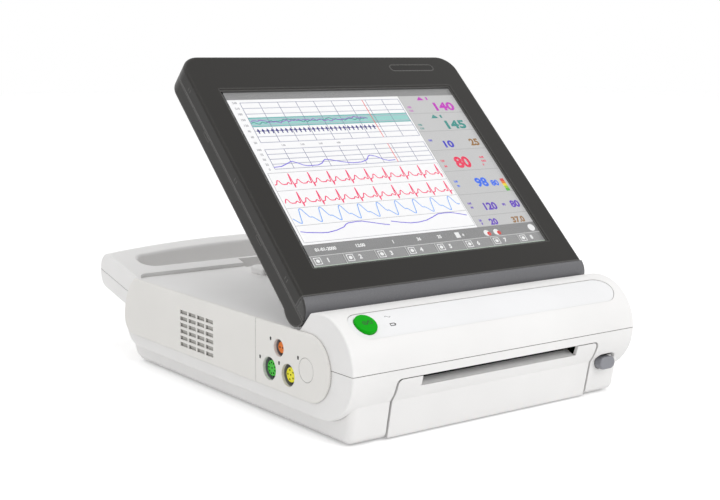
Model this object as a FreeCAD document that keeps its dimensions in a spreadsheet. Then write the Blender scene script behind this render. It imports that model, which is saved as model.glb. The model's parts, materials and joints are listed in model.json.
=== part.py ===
import FreeCAD, Part
import math
import os
import re
import Sketcher

# A desk-top fetal monitor with a folding screen, a paper drawer and a carrying handle.
# Lengths are millimetres and angles degrees. Heights count from the underside of the lower housing
# and depths from its lower front edge; the finished part stands on its feet, centred on its depth.
SIZES = {
    # Shared
    "wall": 3.0,
    "fit_gap": 0.3,
    "running_gap": 0.05,
    "overrun": 5.0,
    "board_thick": 1.6,
    # Housing outline seen from the side
    "shell_half": 147.5,
    "side_round": 1.5,
    "seam_z": 55.0,
    "seam_gap": 0.4,
    "nose_r": 40.0,
    "nose_y": 25.2,
    "crease_z": 29.6,
    "hinge_y": 58.1,
    "hinge_z": 93.5,
    "chin_r": 14.3,
    "chin_gap": 0.5,
    "slope_angle": 47.0,
    "deck_z": 77.0,
    "ridge_front_y": 305.0,
    "ridge_rise": 13.6,
    "rear_wall_y": 335.0,
    "rear_round": 22.0,
    # Handle behind the ridge
    "handle_rear_y": 402.0,
    "handle_bow": 16.0,
    "handle_thick": 34.4,
    "handle_seam_drop": 19.9,
    "handle_top_round": 15.0,
    "handle_under_round": 12.5,
    "hole_border": 21.5,
    "hole_round": 12.0,
    "hole_edge_round": 3.0,
    "handle_bar": 31.0,
    # Screen bay in the deck
    "bay_border": 3.5,
    "bay_rear_y": 319.0,
    "bay_corner": 10.0,
    "finger_half": 30.0,
    "finger_deep": 8.0,
    "finger_long": 10.0,
    # Inset base
    "base_step": 6.5,
    "base_top_z": 45.0,
    "base_edge": 6.0,
    "base_rear_round": 15.0,
    # Feet
    "foot_proud": 1.4,
    "foot_sunk": 1.0,
    "foot_r": 8.0,
    "foot_in": 18.5,
    "foot_front_y": 26.0,
    "foot_middle_y": 150.0,
    "foot_rear_y": 307.0,
    # Screws that hold the two housings together
    "post_border": 9.0,
    "post_front_y": 130.0,
    "post_rear_y": 262.0,
    "post_r": 5.5,
    "post_joint_z": 40.0,
    "screw_r": 1.6,
    "screw_hole_r": 2.2,
    "screw_bite": 12.0,
    "head_r": 3.4,
    "head_tall": 2.6,
    "head_sink": 4.0,
    # Side panels
    "panel_proud": 2.5,
    "panel_low_z": 26.0,
    "panel_high_z": 78.0,
    "panel_front_y": 37.0,
    "panel_split_y": 109.0,
    "panel_rear_y": 333.5,
    "panel_rear_z": 40.0,
    "panel_rear_arc": 46.0,
    "panel_edge": 1.4,
    # Vent slots
    "vent_long": 12.0,
    "vent_tall": 3.3,
    "vent_step_y": 14.2,
    "vent_step_z": 5.6,
    "vent_first_y": 174.0,
    "vent_first_z": 32.5,
    "vent_border": 3.0,
    # Sockets in the side panels
    "upper_socket_y": 76.3,
    "upper_socket_z": 60.0,
    "upper_socket_r": 6.8,
    "rear_socket_y": 89.4,
    "rear_socket_z": 41.2,
    "rear_socket_r": 9.2,
    "front_socket_y": 63.6,
    "front_socket_z": 41.2,
    "front_socket_r": 8.8,
    "spare_socket_y": 39.7,
    "spare_socket_z": 50.0,
    "spare_socket_r": 9.4,
    "socket_deep": 5.5,
    "socket_wall": 1.2,
    "insert_step": 0.6,
    "socket_room": 19.5,
    "contact_r": 0.75,
    "contact_deep": 3.0,
    "window_border": 2.0,
    "blank_gap": 0.25,
    "hose_r": 5.0,
    "hose_bore_r": 2.4,
    "hose_proud": 0.0,
    # Label plate and power button on the hump
    "label_border": 10.5,
    "label_r": 13.2,
    "label_angle": 56.0,
    "label_deep": 1.3,
    "label_thick": 0.8,
    "power_in": 14.0,
    "power_r": 9.2,
    "power_proud": 1.3,
    "power_dome": 1.0,
    "power_tall": 7.0,
    "power_travel": 1.2,
    "guide_wall": 2.0,
    "guide_deep": 9.0,
    "dome_r": 4.0,
    "key_board_half": 14.0,
    "light_r": 1.3,
    "light_gap": 16.0,
    "light_high_angle": 62.0,
    "light_low_angle": 50.0,
    # Paper drawer
    "drawer_border": 43.4,
    "drawer_top_z": 47.3,
    "drawer_corner": 4.0,
    "drawer_gap": 0.6,
    "drawer_side_gap": 2.2,
    "drawer_skin": 3.0,
    "drawer_return": 18.0,
    "slot_border": 22.4,
    "slot_low_z": 39.3,
    "slot_ramp_rise": 3.0,
    "slot_ramp_thick": 1.6,
    "slot_ramp_y": -1.0,
    "tray_border": 22.1,
    "tray_wall": 2.0,
    "tray_front_y": 4.0,
    "tray_rear_y": 135.0,
    "tray_low_z": 4.0,
    "tray_high_z": 36.0,
    "tray_lip_z": 28.0,
    "tray_rib_in": 22.0,
    "ear_high_z": 43.0,
    "ear_long": 16.0,
    "paper_border": 7.0,
    "paper_front_y": 24.0,
    "paper_long": 100.0,
    "paper_tall": 19.0,
    "runner_wide": 5.5,
    "runner_thick": 2.0,
    "rail_border": 1.0,
    "rail_wide": 6.0,
    "rail_tall": 7.0,
    "rail_front_y": 22.0,
    "rail_rear_y": 150.0,
    # Printer
    "platen_y": 12.0,
    "platen_z": 38.5,
    "platen_r": 8.0,
    "platen_border": 6.0,
    "shaft_r": 2.5,
    "gear_module": 1.0,
    "platen_teeth": 16,
    "idler_teeth": 20,
    "pinion_teeth": 10,
    "tooth_share": 0.36,
    "tooth_tip_share": 0.65,
    "tooth_root_share": 1.1,
    "tooth_flank": 22.0,
    "gear_border": 2.5,
    "gear_wide": 5.5,
    "axle_r": 2.0,
    "pinion_shaft_r": 1.5,
    "motor_r": 12.5,
    "motor_long": 17.0,
    "motor_bore_deep": 6.0,
    "motor_ear_half": 18.0,
    "motor_ear_thick": 1.5,
    "chassis_border": 13.0,
    "chassis_thick": 2.0,
    "chassis_front_y": 20.0,
    "chassis_rear_y": 62.0,
    "chassis_high_z": 60.0,
    "chassis_lip_y": 2.0,
    "head_front_y": 3.0,
    "head_long": 21.0,
    "head_border": 4.0,
    "head_thick": 2.2,
    "sink_tall": 5.0,
    "head_spring_r": 3.5,
    "head_spring_in": 28.0,
    # Release button
    "release_in": 26.0,
    "release_z": 27.0,
    "release_half": 8.8,
    "release_r": 5.3,
    "release_front_y": -11.0,
    "release_flange_y": -0.2,
    "release_flange": 2.0,
    "release_lip": 2.0,
    "release_stem_r": 3.0,
    "release_stem_y": 20.0,
    "release_travel": 3.0,
    "release_well_half": 13.0,
    "release_well_r": 8.0,
    "release_well_y": -4.0,
    "post_plate_y": 14.0,
    "post_plate_thick": 3.0,
    "post_plate_half": 7.0,
    "post_plate_high_z": 34.0,
    # Screen
    "screen_angle": 43.7,
    "screen_proud": 0.5,
    "screen_long": 251.4,
    "screen_wall": 2.5,
    "screen_corner": 18.0,
    "screen_seam_z": 1.8,
    "screen_seam_gap": 0.3,
    "bezel_round": 2.5,
    "cover_round": 4.0,
    "lcd_y": 118.7,
    "view_border": 24.0,
    "view_tall_half": 93.2,
    "view_bevel": 1.6,
    "glass_border": 4.0,
    "glass_thick": 1.4,
    "lcd_border": 9.0,
    "lcd_tall_half": 101.0,
    "lcd_thick": 9.0,
    "lcd_post_in": 2.0,
    "lcd_post_y": 78.0,
    "lcd_post_r": 4.0,
    "driver_half": 60.0,
    "driver_tall_half": 35.0,
    "driver_z": -6.0,
    "driver_chip": 3.0,
    "lamp_in": 55.0,
    "lamp_half": 25.0,
    "lamp_r": 3.2,
    "lamp_y": 236.3,
    "lamp_proud": 0.1,
    "cover_screw_in": 13.0,
    "cover_screw_low_y": 40.0,
    "cover_screw_middle_y": 125.0,
    "cover_screw_high_y": 228.0,
    "cover_screw_r": 1.4,
    "cover_head_r": 2.8,
    "cover_head_tall": 1.8,
    "cover_head_sink": 3.0,
    "cover_post_r": 5.0,
    # Hinges
    "hinge_in": 47.5,
    "bracket_half": 6.0,
    "bracket_deep": 9.0,
    "bracket_r": 7.0,
    "bracket_foot_half": 14.0,
    "bracket_foot_thick": 3.0,
    "bracket_foot_long": 22.0,
    "pin_r": 3.0,
    "pin_half": 16.0,
    "notch_gap": 0.8,
    "notch_back_y": 9.0,
    "leaf_wide": 8.0,
    "leaf_half_z": 6.0,
    "leaf_back_y": 14.0,
    "leaf_plate_y": 55.0,
    "leaf_thick": 2.5,
    # Catch block on the deck and its pocket in the rear cover
    "catch_half": 43.0,
    "catch_front_y": 264.0,
    "catch_rear_y": 287.0,
    "catch_tall": 7.0,
    "catch_round": 3.5,
    "catch_room": 1.5,
    # Boards, power and battery
    "main_border": 43.5,
    "main_front_y": 75.0,
    "main_rear_y": 200.0,
    "main_z": 52.0,
    "main_post_border": 9.0,
    "main_post_in": 8.0,
    "main_post_r": 4.0,
    "chip_half": 16.0,
    "chip_tall": 3.0,
    "plug_half": 22.0,
    "plug_deep": 9.0,
    "plug_tall": 8.0,
    "supply_border": 31.5,
    "supply_wide": 90.0,
    "supply_front_y": 216.0,
    "supply_rear_y": 310.0,
    "supply_z": 8.0,
    "supply_core_half": 18.0,
    "supply_core_tall": 30.0,
    "supply_can_r": 9.0,
    "supply_can_tall": 28.0,
    "supply_post_r": 4.0,
    "supply_post_in": 7.0,
    "battery_wide": 90.0,
    "battery_border": 29.5,
    "battery_front_y": 206.0,
    "battery_rear_y": 282.0,
    "battery_tall": 23.0,
    "battery_cell_r": 11.0,
    "lid_border": 4.0,
    "lid_lip": 3.0,
    "lid_lip_thick": 1.5,
    "speaker_border": 6.0,
    "speaker_flange": 2.0,
    "speaker_r": 15.0,
    "speaker_deep": 18.0,
    # Rear connectors
    "rear_row_z": 32.0,
    "inlet_in": 77.5,
    "inlet_half": 13.4,
    "inlet_tall_half": 9.8,
    "inlet_flange": 2.5,
    "inlet_flange_thick": 2.0,
    "inlet_deep": 19.0,
    "inlet_wall": 2.2,
    "inlet_well": 15.0,
    "blade_half": 2.0,
    "blade_thick_half": 1.0,
    "blade_step": 7.0,
    "blade_drop": 2.0,
    "blade_sunk": 3.0,
    "port_x": 5.0,
    "port_half": 8.0,
    "port_tall_half": 7.0,
    "port_deep": 18.0,
    "port_wall": 1.8,
    "port_well": 13.0,
    "stud_in": 32.5,
    "stud_r": 3.0,
    "stud_nut_r": 6.0,
    "stud_nut_thick": 4.0,
    "stud_washer_r": 5.2,
    "stud_washer_thick": 3.0,
    "stud_long": 12.0,
    # Worked out from the sizes above
    "screen_half": "=shell_half + screen_proud",
    "base_half": "=shell_half - base_step",
    "hole_half": "=shell_half - hole_border",
    "bay_half": "=shell_half - bay_border",
    "foot_x": "=base_half - foot_in",
    "post_x": "=base_half - post_border",
    "socket_board_x": "=shell_half - socket_room",
    "label_half": "=shell_half - label_border",
    "power_x": "=power_in - label_half",
    "light_x": "=power_x + light_gap",
    "drawer_half": "=shell_half - drawer_border",
    "slot_half": "=drawer_half - slot_border",
    "tray_half": "=drawer_half - tray_border",
    "tray_rib_half": "=tray_half - tray_rib_in",
    "paper_half": "=tray_half - paper_border",
    "rail_x": "=tray_half + rail_border",
    "platen_half": "=tray_half - platen_border",
    "gear_x": "=tray_half + gear_border",
    "chassis_x": "=tray_half + chassis_border",
    "head_half": "=tray_half - head_border",
    "head_spring_x": "=head_half - head_spring_in",
    "release_x": "=shell_half - release_in",
    "hinge_x": "=shell_half - hinge_in",
    "view_half": "=screen_half - view_border",
    "lcd_half": "=view_half + lcd_border",
    "lcd_post_x": "=view_half - lcd_post_in",
    "lamp_x": "=screen_half - lamp_in",
    "cover_screw_x": "=screen_half - cover_screw_in",
    "main_half": "=shell_half - main_border",
    "main_post_x": "=main_half - main_post_border",
    "supply_low_x": "=supply_border - shell_half",
    "supply_high_x": "=supply_low_x + supply_wide",
    "battery_high_x": "=shell_half - battery_border",
    "battery_low_x": "=battery_high_x - battery_wide",
    "inlet_x": "=inlet_in - shell_half",
    "stud_x": "=stud_in - shell_half",
    "nose_front": "=nose_y - nose_r",
    "ledge_z": "=seam_z - nose_r",
    "mid_depth": "=(handle_rear_y + nose_front) / 2",
    "crease_y": "=nose_y - sqrt(nose_r^2 - (seam_z - crease_z)^2)",
    "slope_reach": "=(hinge_y - nose_y) * sin(slope_angle) + (hinge_z - seam_z) * cos(slope_angle)"
                   " - chin_r - chin_gap",
    "slope_chord": "=sqrt(nose_r^2 - slope_reach^2)",
    "hump_back_y": "=nose_y + slope_reach * sin(slope_angle) - slope_chord * cos(slope_angle)",
    "hump_back_z": "=seam_z + slope_reach * cos(slope_angle) + slope_chord * sin(slope_angle)",
    "deck_front_y": "=nose_y + slope_reach * sin(slope_angle)"
                    " + (seam_z + slope_reach * cos(slope_angle) - deck_z) / tan(slope_angle)",
    "nose_in": "=nose_r - wall",
    "slope_in": "=slope_reach - wall",
    "chord_in": "=sqrt(nose_in^2 - slope_in^2)",
    "back_in_y": "=nose_y + slope_in * sin(slope_angle) - chord_in * cos(slope_angle)",
    "back_in_z": "=seam_z + slope_in * cos(slope_angle) + chord_in * sin(slope_angle)",
    "deck_in_z": "=deck_z - wall",
    "deck_in_y": "=nose_y + slope_in * sin(slope_angle)"
                 " + (seam_z + slope_in * cos(slope_angle) - deck_in_z) / tan(slope_angle)",
    "ridge_grade": "=tan(ridge_rise)",
    "blank_rear_y": "=handle_rear_y + overrun",
    "blank_rear_z": "=deck_z + (blank_rear_y - ridge_front_y) * ridge_grade",
    "seam_bend_y": "=ridge_front_y + (seam_z + handle_seam_drop - deck_z) / ridge_grade",
    "bow_r": "=(shell_half^2 + handle_bow^2) / (2 * handle_bow)",
    "hole_flat": "=hole_half - hole_round",
    "hole_far_y": "=handle_rear_y - handle_bar - handle_bow * hole_flat^2 / shell_half^2",
    "cavity_rear_y": "=rear_wall_y - 3 * wall",
    "panel_face": "=shell_half + panel_proud",
    "panel_r": "=(panel_high_z - panel_low_z) / 2",
    "panel_mid_z": "=(panel_high_z + panel_low_z) / 2",
    "panel_corner": "=panel_rear_z - panel_low_z",
    "panel_rear_high_y": "=panel_rear_y - panel_rear_arc"
                         " + sqrt(panel_rear_arc^2 - (panel_high_z - panel_rear_z)^2)",
    "socket_floor_x": "=panel_face - socket_deep",
    "vent_last_y": "=vent_first_y + 3 * vent_step_y + vent_long",
    "vent_last_z": "=vent_first_z + 5 * vent_step_z + vent_tall",
    "power_y": "=nose_y - nose_r * cos(label_angle)",
    "power_z": "=seam_z + nose_r * sin(label_angle)",
    "label_floor_r": "=nose_r - label_deep",
    "drawer_top_y": "=nose_y - sqrt(nose_r^2 - (seam_z - drawer_top_z)^2)",
    "drawer_in_r": "=nose_r - drawer_skin",
    "drawer_in_top_y": "=nose_y - sqrt(drawer_in_r^2 - (seam_z - drawer_top_z)^2)",
    "drawer_in_crease_y": "=nose_y - sqrt(drawer_in_r^2 - (seam_z - crease_z)^2)",
    "slot_low_y": "=nose_y - sqrt(nose_r^2 - (seam_z - slot_low_z)^2) + drawer_skin / 2",
    "opening_top_z": "=drawer_top_z + drawer_gap",
    "opening_half": "=drawer_half + drawer_side_gap",
    "opening_corner": "=drawer_corner + drawer_gap",
    "runner_z": "=wall + rail_tall + fit_gap",
    "platen_pitch_r": "=gear_module * platen_teeth / 2",
    "idler_pitch_r": "=gear_module * idler_teeth / 2",
    "pinion_pitch_r": "=gear_module * pinion_teeth / 2",
    "idler_y": "=platen_y + platen_pitch_r + idler_pitch_r",
    "pinion_y": "=idler_y + idler_pitch_r + pinion_pitch_r",
    "head_z": "=platen_z + platen_r + fit_gap",
    "sink_z": "=head_z + head_thick",
    "spring_z": "=sink_z + sink_tall",
    "chassis_plate_z": "=chassis_high_z - chassis_thick",
    "release_back_y": "=release_flange_y + release_flange",
    "glass_top_z": "=chin_r - screen_wall - fit_gap",
    "lcd_top_z": "=glass_top_z - glass_thick",
    "lcd_low_z": "=lcd_top_z - lcd_thick",
    "cover_floor_z": "=screen_wall - chin_r",
    "notch_half": "=bracket_half + notch_gap",
    "catch_pocket_z": "=deck_z + catch_tall + catch_room - hinge_z",
    "catch_pocket_low_y": "=catch_front_y - hinge_y - catch_room",
    "catch_pocket_high_y": "=catch_rear_y - hinge_y + catch_room",
    "battery_z": "=wall + lid_lip_thick + fit_gap",
    "supply_core_x": "=(supply_low_x + supply_high_x) / 2",
    "supply_core_y": "=(supply_front_y + supply_rear_y) / 2",
    "speaker_y": "=(vent_first_y + vent_last_y) / 2",
    "speaker_z": "=(vent_first_z + vent_last_z) / 2",
}

# Where each family of pieces stands: a point in the housing's depth and height, and its tilt about X.
FRAMES = {
    "housing": ("0", "0", "0", "0"),
    "screen": ("0", "hinge_y", "hinge_z", "screen_angle"),
    "label": ("0", "power_y", "power_z", "90 - label_angle"),
    "platen": ("0", "platen_y", "platen_z", "0"),
    "idler": ("0", "idler_y", "platen_z", "180 / idler_teeth"),
    "pinion": ("0", "pinion_y", "platen_z", "0"),
}

LEFT, RIGHT = -1, 1
BOTH_SIDES = (LEFT, RIGHT)
NEAR = 1e-4

doc = FreeCAD.newDocument("fetal_monitor")
sheet = doc.addObject("Spreadsheet::Sheet", "sizes")


def fill_sheet():
    """Put each size in a cell of its own under its name."""
    for row, (name, entry) in enumerate(SIZES.items(), 1):
        sheet.set(f"A{row}", name)
        sheet.set(f"B{row}", str(entry))
        sheet.setAlias(f"B{row}", name)
    doc.recompute()


def bound(text):
    """The same expression with each size read from the sheet."""
    def prefixed(match):
        word = match.group(0)
        return f"sizes.{word}" if word in SIZES else word
    return re.sub(r"[a-z_][a-z_0-9]*", prefixed, text)


def value(text):
    """What an expression comes to now."""
    return float(sheet.evalExpression(bound(text)))


def drive(item, **expressions):
    """Bind properties of a feature to expressions."""
    for name, text in expressions.items():
        item.setExpression(name, bound(text))


def drive_place(item, point, turn=None):
    """Bind a feature's position to three expressions, with a fixed turn."""
    item.Placement = FreeCAD.Placement(FreeCAD.Vector(), turn or FreeCAD.Rotation())
    for axis, text in zip("xyz", point):
        item.setExpression(f"Placement.Base.{axis}", bound(text))


def rectangle(x0, x1, y0, y1):
    return [(x0, y0), (x1, y0), (x1, y1), (x0, y1)]


def oblong(x0, x1, y, radius):
    """A slot outline with round ends, its long axis level."""
    low = f"{y} - ({radius})"
    high = f"{y} + ({radius})"
    left = f"{x0} + ({radius})"
    right = f"{x1} - ({radius})"
    return [(left, low), (right, low, radius), (x1, y, radius), (right, high),
            (left, high, radius), (x0, y, radius)]


def circle(x, y, radius):
    return (x, y, radius)


def add_circle(sketch, x, y, radius):
    centre = FreeCAD.Vector(value(x), value(y), 0)
    ring = sketch.addGeometry(Part.Circle(centre, FreeCAD.Vector(0, 0, 1), value(radius)), False)
    for kind, text in (("DistanceX", x), ("DistanceY", y)):
        place = sketch.addConstraint(Sketcher.Constraint(kind, -1, 1, ring, 3, value(text)))
        sketch.setExpression(f"Constraints[{place}]", bound(text))
    size = sketch.addConstraint(Sketcher.Constraint("Radius", ring, value(radius)))
    sketch.setExpression(f"Constraints[{size}]", bound(radius))


def arc_between(start, end, radius):
    """The shorter arc from start to end; a positive radius turns left."""
    chord = end - start
    rise = math.sqrt(max(0.0, radius * radius - chord.Length ** 2 / 4))
    side = FreeCAD.Vector(-chord.y, chord.x, 0) / chord.Length * math.copysign(rise, radius)
    centre = (start + end) / 2 + side
    first = math.atan2(start.y - centre.y, start.x - centre.x)
    last = math.atan2(end.y - centre.y, end.x - centre.x)
    ring = Part.Circle(centre, FreeCAD.Vector(0, 0, 1), abs(radius))
    return Part.ArcOfCircle(ring, first, last) if radius > 0 else Part.ArcOfCircle(ring, last, first)


def add_outline(sketch, outline):
    """A closed outline of points; a third entry makes the run to the next point an arc of that radius."""
    corners = [FreeCAD.Vector(value(point[0]), value(point[1]), 0) for point in outline]
    runs = []
    for index, point in enumerate(outline):
        start, end = corners[index], corners[(index + 1) % len(corners)]
        if len(point) == 2:
            runs.append((sketch.addGeometry(Part.LineSegment(start, end), False), 1, 2))
            continue
        radius = value(point[2])
        run = sketch.addGeometry(arc_between(start, end, radius), False)
        runs.append((run, 1, 2) if radius > 0 else (run, 2, 1))
        size = sketch.addConstraint(Sketcher.Constraint("Radius", run, abs(radius)))
        sketch.setExpression(f"Constraints[{size}]", bound(f"abs({point[2]})"))
    for index, (run, first, last) in enumerate(runs):
        following, following_first, _ = runs[(index + 1) % len(runs)]
        sketch.addConstraint(Sketcher.Constraint("Coincident", run, last, following, following_first))
        for kind, text in zip(("DistanceX", "DistanceY"), outline[index][:2]):
            place = sketch.addConstraint(Sketcher.Constraint(kind, -1, 1, run, first, value(text)))
            sketch.setExpression(f"Constraints[{place}]", bound(text))


class Piece:
    """One sub-part: a body in its frame, shaped by boxes, rods, outlines and rounded edges."""

    ROLES = {"xy": "XY_Plane", "xz": "XZ_Plane", "yz": "YZ_Plane"}
    TURNS = {
        "x": FreeCAD.Rotation(FreeCAD.Vector(0, 1, 0), 90),
        "y": FreeCAD.Rotation(FreeCAD.Vector(1, 0, 0), -90),
        "z": FreeCAD.Rotation(),
    }

    def __init__(self, label, frame="housing"):
        self.body = doc.addObject("PartDesign::Body", label)
        self.body.Label = label
        self.body.AllowCompound = True
        x, y, z, tilt = FRAMES[frame]
        turn = FreeCAD.Rotation(FreeCAD.Vector(1, 0, 0), value(tilt))
        drive_place(self.body, (x, f"{y} - mid_depth", f"{z} + foot_proud"), turn)
        if tilt != "0":
            self.body.setExpression("Placement.Rotation.Angle", bound(tilt))

    def origin(self, role):
        return next(item for item in self.body.Origin.OriginFeatures if item.Role == role)

    def feature(self, kind, cut):
        name = ("Subtractive" if cut else "Additive") + kind
        return self.body.newObject(f"PartDesign::{name}", name)

    def box(self, low, high, cut=False):
        item = self.feature("Box", cut)
        drive_place(item, low)
        spans = [f"({end}) - ({start})" for start, end in zip(low, high)]
        drive(item, Length=spans[0], Width=spans[1], Height=spans[2])
        return self

    def rod(self, axis, start, radius, length, cut=False):
        item = self.feature("Cylinder", cut)
        drive_place(item, start, self.TURNS[axis])
        drive(item, Radius=radius, Height=length)
        return self

    def pad(self, plane, outlines, start, length, cut=False, both=False):
        """Carry outlines along the plane's axis from start, or to both sides of it."""
        sketch = self.body.newObject("Sketcher::SketchObject", "outline")
        sketch.AttachmentSupport = [(self.origin(self.ROLES[plane]), "")]
        sketch.MapMode = "FlatFace"
        backwards = plane == "xz"
        sketch.setExpression("AttachmentOffset.Base.z", bound(f"-({start})" if backwards else start))
        for outline in outlines:
            if isinstance(outline, tuple):
                add_circle(sketch, *outline)
            else:
                add_outline(sketch, outline)
        doc.recompute()
        item = self.body.newObject("PartDesign::Pocket" if cut else "PartDesign::Pad", "run")
        item.Profile = sketch
        if both:
            item.SideType = "Symmetric"
        item.Reversed = backwards != cut
        drive(item, Length=length)
        sketch.Visibility = False
        return self

    def dress(self, kind, size, chosen, property_name):
        doc.recompute()
        tip = self.body.Tip
        if tip.Shape.isNull():
            raise RuntimeError(f"{self.body.Label}: {tip.Name} has no shape")
        edges = [f"Edge{number}" for number, edge in enumerate(tip.Shape.Edges, 1) if chosen(edge)]
        if not edges:
            raise RuntimeError(f"{self.body.Label}: no edge to {kind}")
        item = self.body.newObject(f"PartDesign::{kind}", kind)
        item.Base = (tip, edges)
        item.setExpression(property_name, bound(size))
        return self

    def round(self, size, chosen):
        return self.dress("Fillet", size, chosen, "Radius")

    def bevel(self, size, chosen):
        return self.dress("Chamfer", size, chosen, "Size")

    def around(self, count):
        """Repeat the last feature about the X axis."""
        doc.recompute()
        item = self.body.newObject("PartDesign::PolarPattern", "ring")
        item.Originals = [self.body.Tip]
        item.Axis = (self.origin("X_Axis"), "")
        item.Angle = 360
        drive(item, Occurrences=count)
        self.body.Tip = item
        return self


def boolean(kind, label, base, tool):
    """A named solid from two others."""
    item = doc.addObject(f"Part::{kind}", label)
    item.Label = label
    item.Base = base.body if isinstance(base, Piece) else base
    item.Tool = tool.body if isinstance(tool, Piece) else tool
    return item


def on_value(text, axis, mirrored=False):
    """A test for edges that lie in one plane across an axis, or in its mirror plane too."""
    level = value(text)

    def test(edge):
        places = [getattr(vertex.Point, axis) for vertex in edge.Vertexes]
        return all(abs((abs(place) if mirrored else place) - level) < NEAR for place in places)
    return test


def middle(edge):
    return edge.valueAt((edge.FirstParameter + edge.LastParameter) / 2)


def seam_height(depth):
    """Height of the line where the two housings meet."""
    return value("seam_z") + max(0.0, depth - value("seam_bend_y")) * value("ridge_grade")


def ridge_height(depth):
    return value("deck_z") + (depth - value("ridge_front_y")) * value("ridge_grade")


def shell_edge(edge):
    """The outer side edges of a housing, without those along the seam."""
    at = middle(edge)
    off_seam = abs(at.z - seam_height(at.y)) > 2 * value("seam_gap")
    return on_value("shell_half", "x", mirrored=True)(edge) and off_seam


def handle_edge(height_at):
    """The bowed rear edge at a given height of the handle."""
    def test(edge):
        at = middle(edge)
        end_y = value("handle_rear_y - handle_bow")
        at_rear = all(abs(vertex.Y - end_y) < NEAR for vertex in edge.Vertexes)
        return at_rear and abs(at.z - height_at(at.y)) < NEAR and abs(at.x) < 1
    return test


def hole_rim(edge):
    """The hand hole's edges on the sloping top."""
    points = [vertex.Point for vertex in edge.Vertexes] + [middle(edge)]
    on_top = all(abs(point.z - ridge_height(point.y)) < NEAR for point in points)
    nearest = value("rear_wall_y") - NEAR
    furthest = value("handle_rear_y - handle_bar") + NEAR
    inside = all(abs(point.x) < value("hole_half") + NEAR for point in points)
    return on_top and inside and all(nearest < point.y < furthest for point in points)


def bow_outline():
    """Plan outline of what lies behind the bowed rear of the handle."""
    end_y = "handle_rear_y - handle_bow"
    side, far_y = "shell_half + overrun", "blank_rear_y + overrun"
    return [("-shell_half", end_y, "-bow_r"), ("shell_half", end_y), (side, end_y), (side, far_y),
            (f"-({side})", far_y), (f"-({side})", end_y)]


def hand_hole_outline():
    """Plan outline of the hand hole: straight in front, bowed behind."""
    near, far = "rear_wall_y + hole_round", "hole_far_y - hole_round"
    return [("-hole_flat", "rear_wall_y"), ("hole_flat", "rear_wall_y", "hole_round"),
            ("hole_half", near), ("hole_half", far, "hole_round"),
            ("hole_flat", "hole_far_y", "bow_r"), ("-hole_flat", "hole_far_y", "hole_round"),
            ("-hole_half", far), ("-hole_half", near, "hole_round")]


def cut_side_windows(piece):
    """Openings in the side walls behind the sockets and the vents."""
    inner = "shell_half - wall - overrun"
    outer = "shell_half + overrun"
    spans = (
        ("spare_socket_y - spare_socket_r - window_border", "rear_socket_y + rear_socket_r + window_border",
         "rear_socket_z - rear_socket_r - window_border", "upper_socket_z + upper_socket_r + window_border"),
        ("vent_first_y - window_border", "vent_last_y + window_border",
         "vent_first_z - window_border", "vent_last_z + window_border"),
    )
    for low_y, high_y, low_z, high_z in spans:
        piece.box((f"-({outer})", low_y, low_z), (f"-({inner})", high_y, high_z), cut=True)
        piece.box((inner, low_y, low_z), (outer, high_y, high_z), cut=True)


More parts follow.
